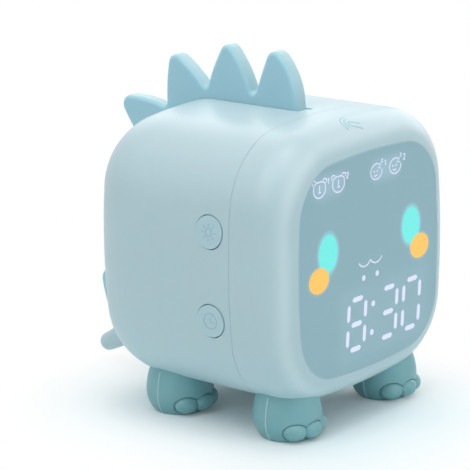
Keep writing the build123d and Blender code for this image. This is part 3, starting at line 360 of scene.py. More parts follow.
# Painted highlight: the colour turns paler towards the blade's rounded edges.
edge = {
    "Value": across.outputs[0],
    "From Min": CREST_HALF - EDGE_HIGHLIGHT_STARTS,
    "From Max": CREST_HALF - EDGE_HIGHLIGHT_FULL,
    "To Min": 0.0,
    "To Max": 1.0,
}
edge = add_node(tree, "ShaderNodeMapRange", edge, **SMOOTH)
tint = {0: edge.outputs["Result"], 6: linear(CREST_SIDE), 7: linear(CREST_EDGE_HIGHLIGHT)}
tint = add_node(tree, "ShaderNodeMix", tint, data_type="RGBA")
inputs = {
    "Base Color": tint.outputs[2],
    "Roughness": SILICONE_ROUGHNESS,
    "IOR": SILICONE_IOR,
    "Subsurface Weight": SILICONE_MILKINESS,
    "Subsurface Scale": SILICONE_LIGHT_REACH,
    "Subsurface Radius": SILICONE_REACH_SHARES,
    "Normal": fine_relief(tree, place, FROST_GRAIN_MM, MEDIUM, FROST_STRENGTH, FROST_DEPTH_MM),
}
set_inputs(tree, shader, inputs)
dress(silicone, "night_light_crest")
print("crest half thickness", round(CREST_HALF / MM, 2), "mm")

# %% [markdown]
# ## Glows on the face
# The face is one panel of tinted acrylic. Light that leaves a window also creeps sideways inside the panel,
# so each lit shape has a soft halo. Each halo is drawn with a distance on the face: from an ellipse for the
# eyes and cheeks, and from a rectangle for the time and for each pair of icons.

# %% Glow shapes


def ellipse_glow(tree, axes, centre, half, spread):
    """1 on the rim of an ellipse on either side of the face, fading to 0 at spread times its size."""
    mirrored = add_node(tree, "ShaderNodeMath", {0: axes.outputs["X"]}, operation="ABSOLUTE")
    shares = {}
    for number, axis, reach in ((0, "X", mirrored.outputs[0]), (2, "Z", axes.outputs["Z"])):
        for operation, value in (("SUBTRACT", centre[number]), ("DIVIDE", half[number])):
            reach = add_node(tree, "ShaderNodeMath", {0: reach, 1: value}, operation=operation).outputs[0]
        shares[axis] = reach
    at = add_node(tree, "ShaderNodeCombineXYZ", shares)
    reach = add_node(tree, "ShaderNodeVectorMath", {0: at.outputs[0]}, operation="LENGTH").outputs["Value"]
    return add_node(tree, "ShaderNodeMapRange", falling(reach, 1.0, spread), **SMOOTH).outputs["Result"]


def frame_glow(tree, axes, low, high, spread):
    """1 inside a rectangle on the face, fading to 0 at spread outside it."""
    reach = distance_outside(tree, axes, {"X": (low[0], high[0]), "Z": (low[2], high[2])})
    return add_node(tree, "ShaderNodeMapRange", falling(reach, 0.0, spread), **SMOOTH).outputs["Result"]


cheek_low, cheek_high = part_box("cheek_windows")
eye_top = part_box("eye_windows")[1][2]
EYE_HALF = Vector((4.85, 0, 6.15)) * MM
CHEEK_HALF = Vector((5.2, 0, 4.2)) * MM
EYE_INSET = 4.9 * MM
EYE_AT = Vector((cheek_high[0] - CHEEK_HALF.x - EYE_INSET, 0, eye_top - EYE_HALF.z))
CHEEK_AT = Vector((cheek_high[0] - CHEEK_HALF.x, 0, (cheek_low[2] + cheek_high[2]) / 2))
print("eyes at x", round(EYE_AT.x / MM, 1), "and cheeks at x", round(CHEEK_AT.x / MM, 1), "mm")

# %% [markdown]
# ## The tinted lens
# Cast acrylic has a deep, even tint and a satin skin, because a hard gloss would hide the lights behind it.
# The glows are added up as emission, each in its own colour and very faint, so the panel stays a surface.

# %% Lens material
LENS_TINT = "9ABFCA"
EYE_GLOW = "5CC8CC"
CHEEK_GLOW = "F2C58A"
PRINT_GLOW = "C3CCE6"
EYE_LEVEL = 0.34
EYE_SPREAD = 1.34
CHEEK_LEVEL = 0.10
CHEEK_SPREAD = 1.3
TIME_LEVEL = 0.04
TIME_SPREAD = 7 * MM
ICON_LEVEL = 0.12
ICON_SPREAD = 5 * MM
ALARM_ICONS_X = (-26.8, -16.9)
SLEEP_ICONS_X = (3.4, 13.8)
ICONS_RISE = 28.2
ICONS_HALF_BAND = 1.0
ACRYLIC_IOR = 1.49
ACRYLIC_ROUGHNESS = 0.34
HAZE_GRAIN_MM = 0.6
HAZE_DEPTH_MM = 0.02
HAZE_STRENGTH = 0.06

acrylic, tree, shader, place = new_material("Acrylic_tinted_lens")
axes = add_node(tree, "ShaderNodeSeparateXYZ", {"Vector": place})
time_low, time_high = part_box("lit_segments")
glows = [
    (ellipse_glow(tree, axes, EYE_AT, EYE_HALF, EYE_SPREAD), EYE_GLOW, EYE_LEVEL),
    (ellipse_glow(tree, axes, CHEEK_AT, CHEEK_HALF, CHEEK_SPREAD), CHEEK_GLOW, CHEEK_LEVEL),
    (frame_glow(tree, axes, time_low, time_high, TIME_SPREAD), PRINT_GLOW, TIME_LEVEL),
]
for start_mm, end_mm in (ALARM_ICONS_X, SLEEP_ICONS_X):
    low = Vector((start_mm * MM, 0, BODY_MIDDLE_Z + (ICONS_RISE - ICONS_HALF_BAND) * MM))
    high = Vector((end_mm * MM, 0, BODY_MIDDLE_Z + (ICONS_RISE + ICONS_HALF_BAND) * MM))
    glows.append((frame_glow(tree, axes, low, high, ICON_SPREAD), PRINT_GLOW, ICON_LEVEL))
glow = (0, 0, 0)
for mask, colour, level in glows:
    faint = tuple(channel * level for channel in linear(colour)[:3])
    tinted = add_node(tree, "ShaderNodeVectorMath", {0: mask, 1: faint}, operation="MULTIPLY")
    glow = add_node(tree, "ShaderNodeVectorMath", {0: glow, 1: tinted.outputs[0]}, operation="ADD").outputs[0]
inputs = {
    "Base Color": linear(LENS_TINT),
    "Roughness": ACRYLIC_ROUGHNESS,
    "IOR": ACRYLIC_IOR,
    "Emission Color": glow,
    "Emission Strength": 1.0,
    "Normal": fine_relief(tree, place, HAZE_GRAIN_MM, MEDIUM, HAZE_STRENGTH, HAZE_DEPTH_MM),
}
set_inputs(tree, shader, inputs)
dress(acrylic, "display_lens", "unlit_segments")
print("lens glows round", len(glows), "lit shapes")

# %% [markdown]
# ## Lit windows
# Behind each window sits a light chip in a white cell. The window itself is a milky diffuser, so it shows
# an even colour that is only slightly cloudy. Each window therefore glows by itself, a little below the
# picture's white, and its base colour is the colour that it has when the light is off.

# %% Window materials
DIFFUSER_MM = 1.2
DIFFUSER_IOR = 1.58
DIFFUSER_ROUGHNESS = 0.4
CLOUDINESS = 0.04


def lit_diffuser(name, colour, off_colour, strength):
    """A milky polycarbonate window with a light behind it."""
    material, tree, shader, place = new_material(name)
    cloud = {"Vector": place, "Scale": per_metre(DIFFUSER_MM), "Detail": BROAD}
    cloud = add_node(tree, "ShaderNodeTexNoise", cloud)
    dim, bright = strength * (1 - CLOUDINESS), strength * (1 + CLOUDINESS)
    power = {"Value": cloud.outputs["Fac"], "To Min": dim, "To Max": bright}
    power = add_node(tree, "ShaderNodeMapRange", power)
    inputs = {
        "Base Color": linear(off_colour),
        "Roughness": DIFFUSER_ROUGHNESS,
        "IOR": DIFFUSER_IOR,
        "Emission Color": linear(colour),
        "Emission Strength": power.outputs["Result"],
    }
    set_inputs(tree, shader, inputs)
    return material


WINDOWS = {
    # node: (material, lit colour, colour when off, strength)
    "eye_windows": ("Polycarbonate_diffuser_cyan", "65EBE2", "3A6466", 0.86),
    "cheek_windows": ("Polycarbonate_diffuser_amber", "FFC24B", "6E5A3C", 0.86),
    "snout_windows": ("Polycarbonate_diffuser_white", "E6E6FA", "5A666C", 0.80),
    "lit_segments": ("Polycarbonate_diffuser_digits", "DDE0FC", "5A666C", 0.87),
}
for node, finish in WINDOWS.items():
    dress(lit_diffuser(*finish), node)
print("dressed", len(WINDOWS), "lit nodes")

# %% [markdown]
# ## Soft PVC for the feet
# The feet are cast in soft PVC, a shade deeper than the case. The skin is smooth but never quite even: it
# has shallow ripples from the mould and a slightly greasy sheen.

# %% Foot material
FOOT_TEAL = "87BBC1"
FOOT_DEEP = "7EB3B9"
FEET = [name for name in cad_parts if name.startswith("foot_") and name != "foot_screws"]
PVC_IOR = 1.53
PVC_ROUGHNESS = 0.44
PVC_MILKINESS = 0.12
PVC_LIGHT_REACH = 2.0 * MM
PATCH_MM = 9.0
RIPPLE_MM = 1.1
RIPPLE_DEPTH_MM = 0.08
RIPPLE_STRENGTH = 0.16

soft_pvc, tree, shader, place = new_material("PVC_soft_cast_teal")
inputs = {
    "Base Color": colour_drift(tree, place, PATCH_MM, MEDIUM, FOOT_TEAL, FOOT_DEEP),
    "Roughness": PVC_ROUGHNESS,
    "IOR": PVC_IOR,
    "Subsurface Weight": PVC_MILKINESS,
    "Subsurface Scale": PVC_LIGHT_REACH,
    "Normal": fine_relief(tree, place, RIPPLE_MM, FINE, RIPPLE_STRENGTH, RIPPLE_DEPTH_MM),
}
set_inputs(tree, shader, inputs)
dress(soft_pvc, *FEET)
print("dressed", len(FEET), "feet")

# %% [markdown]
# ## Finishes of the inner pieces
# Nobody sees the boards and screws until the case is opened, but each has its own real finish. A table
# pairs each finish with its colours, its gloss, the size of its grain and how deep that grain is, and one
# function turns a line of the table into a material.

# %% Inner materials
INNER_FINISHES = {
    # name: (colour, second colour, metallic, roughness, IOR, grain in mm, relief in mm)
    "ABS_white_light_block": ("F1F2EE", "E9EAE5", 0.0, 0.55, 1.53, 0.4, 0.02),
    "FR4_green_solder_mask": ("2F6E3E", "275F35", 0.0, 0.35, 1.52, 1.6, 0.03),
    "Polyimide_white_strip": ("ECEBE4", "E2DFD2", 0.0, 0.40, 1.60, 1.5, 0.02),
    "Epoxy_black_chip": ("1D1E20", "26272A", 0.0, 0.50, 1.55, 0.3, 0.01),
    "Acetal_black_plunger": ("2B2C30", "323338", 0.0, 0.38, 1.48, 0.5, 0.01),
    "Steel_zinc_plated": ("C4C3BE", "ACABA6", 1.0, 0.32, 1.50, 0.6, 0.01),
    "Paper_pressed_cone": ("3B3A37", "2E2D2B", 0.0, 0.85, 1.50, 0.5, 0.05),
    "Aluminium_foil_wrap": ("CFD2D6", "B9BDC2", 1.0, 0.38, 1.50, 4.0, 0.05),
    "Polyurethane_foam": ("4B4C4E", "3A3B3D", 0.0, 0.95, 1.50, 0.7, 0.20),
    "Copper_foil": ("C98A5C", "B67848", 1.0, 0.30, 1.50, 2.0, 0.01),
    "Phosphor_light_chip": ("F4E7A4", "EFE4B8", 0.0, 0.35, 1.50, 0.4, 0.01),
    "PVC_wire_insulation": ("DCD8CE", "CFCABD", 0.0, 0.45, 1.53, 0.8, 0.02),
}
INNER_NODES = {
    "ABS_white_light_block": ["light_block", "board_sockets", "crest_light_channel"],
    "FR4_green_solder_mask": ["main_board", "charge_board", "key_board_left", "key_board_right"],
    "Polyimide_white_strip": ["crest_light_strip"],
    "Epoxy_black_chip": ["board_chips", "key_switches_left", "key_switches_right"],
    "Acetal_black_plunger": [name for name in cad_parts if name.startswith("plunger_")],
    "Steel_zinc_plated": [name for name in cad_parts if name.endswith("screws")]
    + ["usb_socket", "speaker_frame", "speaker_magnet"],
    "Paper_pressed_cone": ["speaker_cone"],
    "Aluminium_foil_wrap": ["battery"],
    "Polyurethane_foam": ["battery_pad"],
    "Copper_foil": ["touch_pad"],
    "Phosphor_light_chip": ["crest_leds", "display_leds"],
    "PVC_wire_insulation": ["leads"],
}
INNER_STRENGTH = 0.3


def inner_finish(name):
    """One finish of the table as a material."""
    colour, second, metallic, roughness, ior, grain_mm, relief_mm = INNER_FINISHES[name]
    material, tree, shader, place = new_material(name)
    inputs = {
        "Base Color": colour_drift(tree, place, grain_mm, FINE, colour, second),
        "Metallic": metallic,
        "Roughness": roughness,
        "IOR": ior,
        "Normal": fine_relief(tree, place, grain_mm, FINE, INNER_STRENGTH, relief_mm),
    }
    set_inputs(tree, shader, inputs)
    return material


for name, nodes in INNER_NODES.items():
    dress(inner_finish(name), *nodes)
print("dressed", sum(len(nodes) for nodes in INNER_NODES.values()), "inner nodes")

# %% [markdown]
# ## Lines that follow a surface
# The icons, the signs on the buttons, the touch mark on top, the bead round the lens and the flash lines of
# the feet are all thin lines. A text or curve object would float off a curved wall, so each line is built as
# a flat ribbon and every point of it is dropped onto the CAD surface by casting a ray. The ribbon then
# stands proud by a hair and reaches as far into the surface.

# %% Ribbon helper
INWARD = {
    "front": Vector((0, 1, 0)),
    "left": Vector((1, 0, 0)),
    "right": Vector((-1, 0, 0)),
    "top": Vector((0, 0, -1)),
}
START_OUTSIDE = 20 * MM


def land(nodes, point, inward):
    """Where a ray from outside, along inward through point, meets the first of the CAD nodes."""
    best = (point, -inward)
    nearest = None
    for name in nodes:
        hit, place, normal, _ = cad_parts[name].ray_cast(point - inward * START_OUTSIDE, inward)
        depth = (place - point).dot(inward) if hit else None
        if hit and (nearest is None or depth < nearest):
            best, nearest = (place, normal), depth
    return best


def ribbon(lines, width, nodes, side, proud):
    """Vertices and faces of flat ribbons, each laid on the CAD nodes along one of its lines."""
    inward = INWARD[side]
    vertices, faces = [], []
    for line, closed in lines:
        first = len(vertices)
        count = len(line)
        for number, point in enumerate(line):
            before = line[number - 1] if number or closed else point
            after = line[(number + 1) % count] if number < count - 1 or closed else point
            sideways = (after - before).cross(inward).normalized() * (width / 2)
            for shift in (sideways, -sideways):
                surface, normal = land(nodes, point + shift, inward)
                vertices += [surface + normal * proud, surface - normal * proud]
        for number in range(count if closed else count - 1):
            a = first + 4 * number
            b = first + 4 * ((number + 1) % count)
            faces += [(a, a + 2, b + 2, b), (a + 1, b + 1, b + 3, a + 3)]
            faces += [(a, b, b + 1, a + 1), (a + 2, a + 3, b + 3, b + 2)]
        if not closed:
            last = first + 4 * (count - 1)
            faces += [(first, first + 1, first + 3, first + 2), (last, last + 2, last + 3, last + 1)]
    return vertices, faces


print("a ribbon's rays start", START_OUTSIDE / MM, "mm outside the surface")

# %% [markdown]
# ## New pieces
# Each new piece is a plain mesh with one material. It rides on the body that carries it, so it moves with a
# pressed button.

# %% Piece helper


def make_piece(name, vertices, faces, material, slot_name, body):
    """Adds a mesh object to the frame, with a finish and a body to ride on."""
    mesh = bpy.data.meshes.new(name)
    mesh.from_pydata([tuple(vertex) for vertex in vertices], [], faces)
    mesh.materials.append(material)
    mesh.validate()
    piece = bpy.data.objects.new(name, mesh)
    bpy.context.collection.objects.link(piece)
    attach(piece, body)
    print("made", name, "with", len(faces), "faces")


# %% [markdown]
# ## The lip in the slot
# The slot in the case starts a little in front of the crest. The crest's root fills it with a low lip, a
# hair below the case's skin, so only a thin dark line is left at the very end. It is built from level
# outlines, one above the other, with round front corners and a small bevel at the top.

# %% Lip of the crest's root
LIP_LEAD = 2.1 * MM
LIP_UNDER = 0.8 * MM
LIP_SUNK = 0.25 * MM
LIP_THICK = 1.85 * MM
LIP_CORNER = 0.8 * MM
LIP_BEVEL = 0.25 * MM
BEVEL_SHARE = 0.3
CORNER_STEPS = 6


def lip_ring(inset, height):
    """The lip's outline at one height, round at its two front corners."""
    half = CREST_HALF - inset
    front, back = CREST_FRONT_Y - LIP_LEAD + inset, CREST_FRONT_Y + LIP_UNDER - inset
    ring = [(half, back, height)]
    for side, start in ((1, 0), (-1, -90)):
        for step in range(CORNER_STEPS + 1):
            turn = radians(start - 90 * step / CORNER_STEPS)
            x = side * (half - LIP_CORNER) + LIP_CORNER * cos(turn)
            y = front + LIP_CORNER + LIP_CORNER * sin(turn)
            ring.append((x, y, height))
    ring.append((-half, back, height))
    return ring


lip_top = BODY_TOP - LIP_SUNK
rounding = LIP_BEVEL * BEVEL_SHARE
levels = [
    # (inset, height), from the bottom up
    (0, lip_top - LIP_THICK),
    (0, lip_top - LIP_BEVEL),
    (rounding, lip_top - rounding),
    (LIP_BEVEL, lip_top),
]
rings = [lip_ring(inset, height) for inset, height in levels]
count = len(rings[0])
vertices = [point for ring in rings for point in ring]
faces = [tuple(range(count)), tuple(reversed(range(count * (len(rings) - 1), count * len(rings))))]
for level in range(len(rings) - 1):
    for corner in range(count):
        here, after = level * count + corner, level * count + (corner + 1) % count
        faces.append((here, here + count, after + count, after))
make_piece("crest_root_lip", vertices, faces, silicone, "crest", "clock")

# %% [markdown]
# ## The bead round the lens
# The lens is bonded into its pocket, and a hair of soft sealant fills the gap round it. We find the lens's
# outline from its own mesh, as the farthest point in each direction, and lay a fine bead along it.

# %% Lens bead
BEAD_WIDTH = 0.5 * MM
BEAD_PROUD = 0.03 * MM
BEAD_POINTS = 180
BEAD_OUT = 0.05 * MM


def lens_outline():
    """The lens's outline, seen from the front, just outside the lens itself."""
    corners = [vertex.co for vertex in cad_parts["display_lens"].data.vertices]
    outline = []
    for step in range(BEAD_POINTS):
        turn = 2 * pi * step / BEAD_POINTS
        outward = Vector((cos(turn), 0, sin(turn)))
        far = max(corners, key=outward.dot)
        point = Vector((far.x, FACE_Y, far.z)) + outward * BEAD_OUT
        if not outline or (point - outline[-1]).length > BEAD_WIDTH:
            outline.append(point)
    return outline


bead_seal = moulded_abs("Silicone_sealant_bead", "A9C8D1", "A5C4CE", 0.4)
bead_line = [(lens_outline(), True)]
vertices, faces = ribbon(bead_line, BEAD_WIDTH, ["display_lens", "front_shell"], "front", BEAD_PROUD)
make_piece("lens_bead", vertices, faces, bead_seal, "shell", "clock")

# %% [markdown]
# ## Icons on the face
# Four small signs light up above the eyes: two alarm clocks and two sleeping faces, each with its number.
# They are drawn in millimetres round their own middle, as strokes, and placed along one line.

# %% Icon strokes
NUMBER_HEIGHT = 1.9


def arc(cx, cz, rx, rz, start, end, count=12):
    """Points of an elliptical arc, from start to end in degrees."""
    turns = [radians(start + (end - start) * step / count) for step in range(count + 1)]
    return [(cx + rx * cos(turn), cz + rz * sin(turn)) for turn in turns]


def number_strokes(digit, x, z):
    """A plain 1 or 2 as strokes, standing on z."""
    high, wide = NUMBER_HEIGHT, NUMBER_HEIGHT * 0.5
    if digit == 1:
        return [[(x, z + high * 0.75), (x + wide * 0.5, z + high), (x + wide * 0.5, z)]]
    curve = arc(x + wide / 2, z + high * 0.72, wide / 2, high * 0.28, 160, -35, 8)
    return [curve + [(x, z)], [(x, z), (x + wide, z)]]


def alarm_icon(digit):
    """A clock case with a flat top and a round bottom, two bells on its shoulders, and its hands."""
    bottom = arc(0, -0.1, 3.1, 2.7, 165, 375, 20)
    case = [(-1.5, 2.3), (-2.9, 1.6), *bottom, (2.9, 1.6), (1.5, 2.3), (-1.5, 2.3)]
    bells = [arc(side * 2.7, 2.2, 1.0, 0.9, 90 + side * 60, 90 - side * 120, 8) for side in (-1, 1)]
    hands = [[(0, 1.3), (0, -1.1)], [(-0.6, -1.1), (0.7, -1.1)]]
    return [case, *bells, *hands, *number_strokes(digit, 4.2, 0.9)]


def sleep_icon(digit):
    """A round face with closed eyes and a smile, open where its two sleeping signs rise."""
    face = arc(0, 0, 3.1, 2.6, 75, 370, 28)
    eyes = [arc(x, 0.3, 0.35, 0.25, 180, 360, 4) for x in (-1.3, 0.5)]
    smile = arc(-0.4, -0.8, 0.9, 0.6, 200, 340, 6)
    large_sign = [(0.9, 2.3), (2.5, 2.3), (0.9, 0.9), (2.5, 0.9)]
    small_sign = [(2.6, 3.6), (3.6, 3.6), (2.6, 2.6), (3.6, 2.6)]
    return [face, *eyes, smile, large_sign, small_sign, *number_strokes(digit, 4.5, 1.2)]


print("an alarm icon has", len(alarm_icon(1)), "strokes and a sleep icon", len(sleep_icon(1)))

# %% [markdown]
# ## Placing the icons
# The strokes are moved to their place above the eyes and dropped onto the lens. On the real face they are
# clear windows in a dark print, so they glow like the digits.

# %% Lit icons
ICON_STROKE = 0.40 * MM
ICON_PROUD = 0.03 * MM


def face_lines(strokes, x_mm):
    """Strokes in millimetres as lines on the lens, with the icon's middle at x_mm."""
    lines = []
    for stroke in strokes:
        points = [Vector(((x_mm + x) * MM, FACE_Y, BODY_MIDDLE_Z + (ICONS_RISE + z) * MM)) for x, z in stroke]
        lines.append((points, False))
    return lines


icon_light = lit_diffuser("Polycarbonate_diffuser_icons", "DEDFFA", "5A666C", 0.92)
for group, draw, places in (("alarm", alarm_icon, ALARM_ICONS_X), ("sleep", sleep_icon, SLEEP_ICONS_X)):
    for digit, x_mm in zip((1, 2), places):
        lines = face_lines(draw(digit), x_mm)
        vertices, faces = ribbon(lines, ICON_STROKE, ["display_lens"], "front", ICON_PROUD)
        make_piece(f"{group}_icon_{digit}", vertices, faces, icon_light, "segment_light", "clock")

# %% [markdown]
# ## Marks on the buttons
# Each button carries a small moulded sign: a sun on the upper one for the night light, and a clock on the
# lower one for setting the time. They are the same plastic as the button, so they show only by the shade
# along their edges. A thin ribbon in a slightly deeper colour, dropped onto the curved cap, paints that
# shade.

# %% Button marks
# The signs' deeper colour is painted shade along the edges of the moulded signs.
mark_abs_painted_shade = moulded_abs("ABS_moulded_mark_painted_shade", "A3C4CF", "9FC0CB", 0.5)
MARK_STROKE = 0.32 * MM
MARK_PROUD = 0.04 * MM
SUN_RING = 1.3
SUN_RAYS = 8
RAY_START = 2.0
RAY_END = 2.9
DIAL_RADIUS = 2.6


def sun_strokes():
    """A ring with short rays."""
    rays = []
    for step in range(SUN_RAYS):
        turn = 2 * pi * step / SUN_RAYS
        rays.append([(reach * cos(turn), reach * sin(turn)) for reach in (RAY_START, RAY_END)])
    return [arc(0, 0, SUN_RING, SUN_RING, 0, 360, 20), *rays]


def dial_strokes():
    """A clock dial with two hands."""
    return [arc(0, 0, DIAL_RADIUS, DIAL_RADIUS, 0, 360, 32), [(0, 1.6), (0, 0), (1.3, -0.6)]]


def wall_lines(strokes, side, centre):
    """Strokes as lines on a side wall, seen from outside it."""
    turn = 1 if side == "right" else -1
    lines = []
    for stroke in strokes:
        points = [Vector((centre.x, centre.y + turn * y * MM, centre.z + z * MM)) for y, z in stroke]
        lines.append((points, False))
    return lines


for side in ("left", "right"):
    for level, strokes in (("upper", sun_strokes()), ("lower", dial_strokes())):
        node = f"button_{side}_{level}"
        lines = wall_lines(strokes, side, middle(node))
        vertices, faces = ribbon(lines, MARK_STROKE, [node], side, MARK_PROUD)
        make_piece(f"mark_{side}_{level}", vertices, faces, mark_abs_painted_shade, "button", f"key_{side}_{level}")

# %% [markdown]
# ## The touch mark on top
# A tap on the top of the case works the snooze. A faint moulded sign shows where: a fingertip under two
# arcs. The finger's long flanks have points all along them, so that they follow the curve of the case.

# %% Touch mark
TOUCH_STROKE = 0.45 * MM
TOUCH_AT = Vector((-2.2, -54.0))
TOUCH_TURN = radians(66)
FINGER_HALF = 0.9
FINGER_LENGTH = 4.0
FLANK_STEPS = 10
TOUCH_ARCS = (2.3, 3.6)


def touch_strokes():
    """A fingertip under two arcs, round the middle of the tip."""
    flank = [FINGER_LENGTH * (step / FLANK_STEPS - 1) for step in range(FLANK_STEPS)]
    tip = arc(0, 0, FINGER_HALF, FINGER_HALF, 180, 0, 8)
    finger = [*[(-FINGER_HALF, at) for at in flank], *tip, *[(FINGER_HALF, at) for at in reversed(flank)]]
    return [finger, *[arc(0, 0, reach, reach, 140, 10, 14) for reach in TOUCH_ARCS]]


touch_lines = []
for stroke in touch_strokes():
    turned = [TOUCH_AT + Matrix.Rotation(TOUCH_TURN, 2) @ Vector(point) for point in stroke]
    touch_lines.append(([Vector((at.x * MM, at.y * MM, BODY_TOP)) for at in turned], False))
vertices, faces = ribbon(touch_lines, TOUCH_STROKE, ["front_shell"], "top", MARK_PROUD)
# Like the marks on the buttons, this sign is drawn in the deeper colour of painted shade.
make_piece("touch_mark", vertices, faces, mark_abs_painted_shade, "shell", "clock")

# %% [markdown]
# ## Flash lines on the feet
# A soft foot is cast in a mould of two halves, and a hair of material creeps between them. It stays as a
# fine pale line that runs up both flanks. We follow the CAD foot with rays, level by level.

# %% Flash lines
FLASH_WIDTH = 0.42 * MM
FLASH_PROUD = 0.12 * MM
FLASH_STEPS = 24
FLASH_LOW = 0.5 * MM
FLASH_HIGH = 14.8 * MM
flash_pvc = moulded_abs("PVC_soft_flash_line", "C4DEE0", "BAD8DB", 0.4)


def flash_line(foot):
    """Vertices and faces of the pale line on both flanks of a foot."""
    low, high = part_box(foot)
    line_y = high[1] - (high[0] - low[0]) / 2
    rise = [FLASH_LOW + (FLASH_HIGH - FLASH_LOW) * step / FLASH_STEPS for step in range(FLASH_STEPS + 1)]
    all_vertices, all_faces = [], []
    for side, x in (("left", low[0]), ("right", high[0])):
        line = [Vector((x, line_y, height)) for height in rise]
        vertices, faces = ribbon([(line, False)], FLASH_WIDTH, [foot], side, FLASH_PROUD)
        shift = len(all_vertices)
        all_vertices += vertices
        all_faces += [tuple(index + shift for index in face) for face in faces]
    return all_vertices, all_faces


for foot in FEET:
    make_piece(foot.replace("foot", "flash_line"), *flash_line(foot), flash_pvc, "foot", "clock")

# %% [markdown]
# ## Contacts of the charging inlet
# The inlet's tongue carries a row of gilded contacts on each face. They are too small for the solid, so a
# comb of slim bevelled bars is laid on the tongue here. Gold is a metal, so it keeps the default IOR.

# %% Inlet contacts
gold, tree, shader, place = new_material("Gold_plated_contact")
GOLD_GRAIN_MM = 0.3
GOLD_ROUGHNESS = 0.25
gold_tint = colour_drift(tree, place, GOLD_GRAIN_MM, MEDIUM, "E3BE6A", "D2A94F")
set_inputs(tree, shader, {"Base Color": gold_tint, "Metallic": 1.0, "Roughness": GOLD_ROUGHNESS})
CONTACTS = 8
CONTACT_WIDTH = 0.35 * MM
CONTACT_TOP_SHARE = 0.7
CONTACT_PITCH = 0.75 * MM
CONTACT_LENGTH = 3.2 * MM
CONTACT_THICK = 0.04 * MM
TONGUE_HALF = 0.35 * MM
TONGUE_BACK = 0.9 * MM


def contact_bar(x, end_y, z, thick):
    """The eight corners of one bar, narrower on its outer face."""
    half = CONTACT_WIDTH / 2
    narrow = half * CONTACT_TOP_SHARE
    section = [(-half, z), (half, z), (narrow, z + thick), (-narrow, z + thick)]
    return [Vector((x + off, y, level)) for y in (end_y - CONTACT_LENGTH, end_y) for off, level in section]


socket_middle = middle("usb_socket")
tongue_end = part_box("usb_socket")[1][1] - TONGUE_BACK
vertices, faces = [], []
for face in (-1, 1):
    for number in range(CONTACTS):
        a = len(vertices)
        x = socket_middle.x + (number - (CONTACTS - 1) / 2) * CONTACT_PITCH
        vertices += contact_bar(x, tongue_end, socket_middle.z + face * TONGUE_HALF, face * CONTACT_THICK)
        faces += [(a, a + 1, a + 2, a + 3), (a + 4, a + 7, a + 6, a + 5)]
        for corner in range(4):
            after = (corner + 1) % 4
            faces.append((a + corner, a + corner + 4, a + after + 4, a + after))
make_piece("inlet_contacts", vertices, faces, gold, "steel", "clock")

# %% [markdown]
# ## The table
# The clock stands on a seamless white table. Its paint is a plain matt white with a hint of blue, and it
# keeps the soft shadow under the clock. Away from there it turns into pure white for every ray that sees it,
# so that the picture has no horizon. The distance from a rectangle under the clock sets how much of the
# shadow is left.

# %% Floor
FLOOR_REACH = 6.0
TABLE_WHITE = "EFFCFE"
TABLE_ROUGHNESS = 0.7
TABLE_SHINE = 0.2
TABLE_GRAIN_MM = 3.0
TABLE_DEPTH_MM = 0.05
TABLE_STRENGTH = 0.03
SHADOW_SPANS = {"X": (-19 * MM, 8 * MM), "Y": (-54 * MM, 0 * MM)}
SHADOW_FADE = 71 * MM
SHADOW_LIFT = 0.035


def straight_look(tree):
    """1 for a ray that the camera sends, also by reflection or through glass, and 0 for light that fills."""
    ray = add_node(tree, "ShaderNodeLightPath", {})
    seen = ray.outputs["Is Camera Ray"]
    for kind in ("Is Glossy Ray", "Is Transmission Ray"):
        either = {0: seen, 1: ray.outputs[kind]}
        seen = add_node(tree, "ShaderNodeMath", either, operation="MAXIMUM").outputs[0]
    return seen


paint, tree, shader, place = new_material("Matt_white_table")
inputs = {
    "Base Color": linear(TABLE_WHITE),
    "Roughness": TABLE_ROUGHNESS,
    "Specular IOR Level": TABLE_SHINE,
    "Normal": fine_relief(tree, place, TABLE_GRAIN_MM, MEDIUM, TABLE_STRENGTH, TABLE_DEPTH_MM),
}
set_inputs(tree, shader, inputs)
axes = add_node(tree, "ShaderNodeSeparateXYZ", {"Vector": place})
away = {
    "Value": distance_outside(tree, axes, SHADOW_SPANS),
    "From Min": 0.0,
    "From Max": SHADOW_FADE,
    "To Min": SHADOW_LIFT,
    "To Max": 1.0,
}
away = add_node(tree, "ShaderNodeMapRange", away, **SMOOTH)
share = {0: straight_look(tree), 1: away.outputs["Result"]}
share = add_node(tree, "ShaderNodeMath", share, operation="MULTIPLY")
white = add_node(tree, "ShaderNodeEmission", {"Color": linear("FFFFFF"), "Strength": 1.0})
blend = {0: share.outputs[0], 1: shader.outputs[0], 2: white.outputs[0]}
blend = add_node(tree, "ShaderNodeMixShader", blend)
tree.links.new(blend.outputs[0], tree.nodes["Material Output"].inputs["Surface"])

corners = [(x * FLOOR_REACH, y * FLOOR_REACH, 0) for x, y in ((-1, -1), (1, -1), (1, 1), (-1, 1))]
floor_mesh = bpy.data.meshes.new("table_top")
floor_mesh.from_pydata(corners, [], [(0, 1, 2, 3)])
floor_mesh.materials.append(paint)
floor = bpy.data.objects.new("table_top", floor_mesh)
bpy.context.collection.objects.link(floor)
floor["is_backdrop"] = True
print("floor reaches", FLOOR_REACH, "m each way")

# %% [markdown]
# ## The room
# The room is pure white wherever it is seen, straight, in a reflection or through glass. As light it is
# only a faint, slightly blue fill, so that the lamps shape the object and the background doesn't.

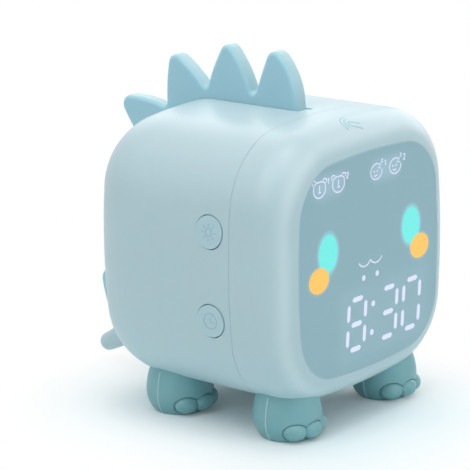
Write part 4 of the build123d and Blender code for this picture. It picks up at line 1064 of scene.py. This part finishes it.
# %% World
ROOM_LEVEL = 0.07
ROOM_TINT = "DCF1FF"
world = bpy.data.worlds.new("studio_room")
bpy.context.scene.world = world
world.use_nodes = True
tree = world.node_tree
tree.nodes.clear()
fill = add_node(tree, "ShaderNodeBackground", {"Color": linear(ROOM_TINT), "Strength": ROOM_LEVEL})
bright = add_node(tree, "ShaderNodeBackground", {"Color": linear("FFFFFF"), "Strength": 1.0})
mixed = {0: straight_look(tree), 1: fill.outputs[0], 2: bright.outputs[0]}
mixed = add_node(tree, "ShaderNodeMixShader", mixed)
add_node(tree, "ShaderNodeOutputWorld", {"Surface": mixed.outputs[0]})
print("the room fills with", ROOM_LEVEL)

# %% [markdown]
# ## The lamps
# The light is what a small product studio has: soft boxes in a ring round the table and above it, all of
# them 1.1 to 1.4 m from the clock. Three hang overhead, and the smallest of them gives the crispest shadow
# and highlights. The others light the sides of the case and soften the shadows.

# %% Lamps
OBJECT_MIDDLE = Vector((0, -0.01, 0.05))
SOFT_BOXES = {
    # name: (place in m, width in m, power in W)
    "soft_box_above": ((-0.20, 0.15, 1.10), 1.0, 3.4),
    "soft_box_top": ((0.00, -0.06, 1.20), 0.28, 1.7),
    "soft_box_above_front": ((-0.15, -0.60, 1.05), 0.9, 4.1),
    "soft_box_left": ((-0.90, 0.10, 0.90), 0.9, 4.5),
    "soft_box_front": ((0.30, -1.20, 0.50), 0.8, 2.7),
    "soft_box_right": ((1.15, 0.10, 0.60), 0.8, 4.2),
    "soft_box_back_right": ((0.70, 0.90, 0.80), 0.8, 3.2),
}


def soft_box(name, place, width, power):
    """A square area lamp that faces the object."""
    lamp = bpy.data.lights.new(name, "AREA")
    lamp.shape = "SQUARE"
    lamp.size = width
    lamp.energy = power
    box = bpy.data.objects.new(name, lamp)
    box.location = place
    box.rotation_euler = (OBJECT_MIDDLE - Vector(place)).to_track_quat("-Z", "Y").to_euler()
    bpy.context.collection.objects.link(box)


for name, lamp_facts in SOFT_BOXES.items():
    soft_box(name, *lamp_facts)
print("lit by", len(SOFT_BOXES), "soft boxes")

# %% [markdown]
# ## The object's size
# The last step compares the finished object's box with the CAD box and prints how far the added pieces reach
# beyond the solids.

# %% Finish
new_low, new_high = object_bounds()
growth = [(max(a - b, 0) + max(d - c, 0)) / MM for a, b, c, d in zip(cad_low, new_low, cad_high, new_high)]
print("grown by", [round(part, 3) for part in growth], "mm")
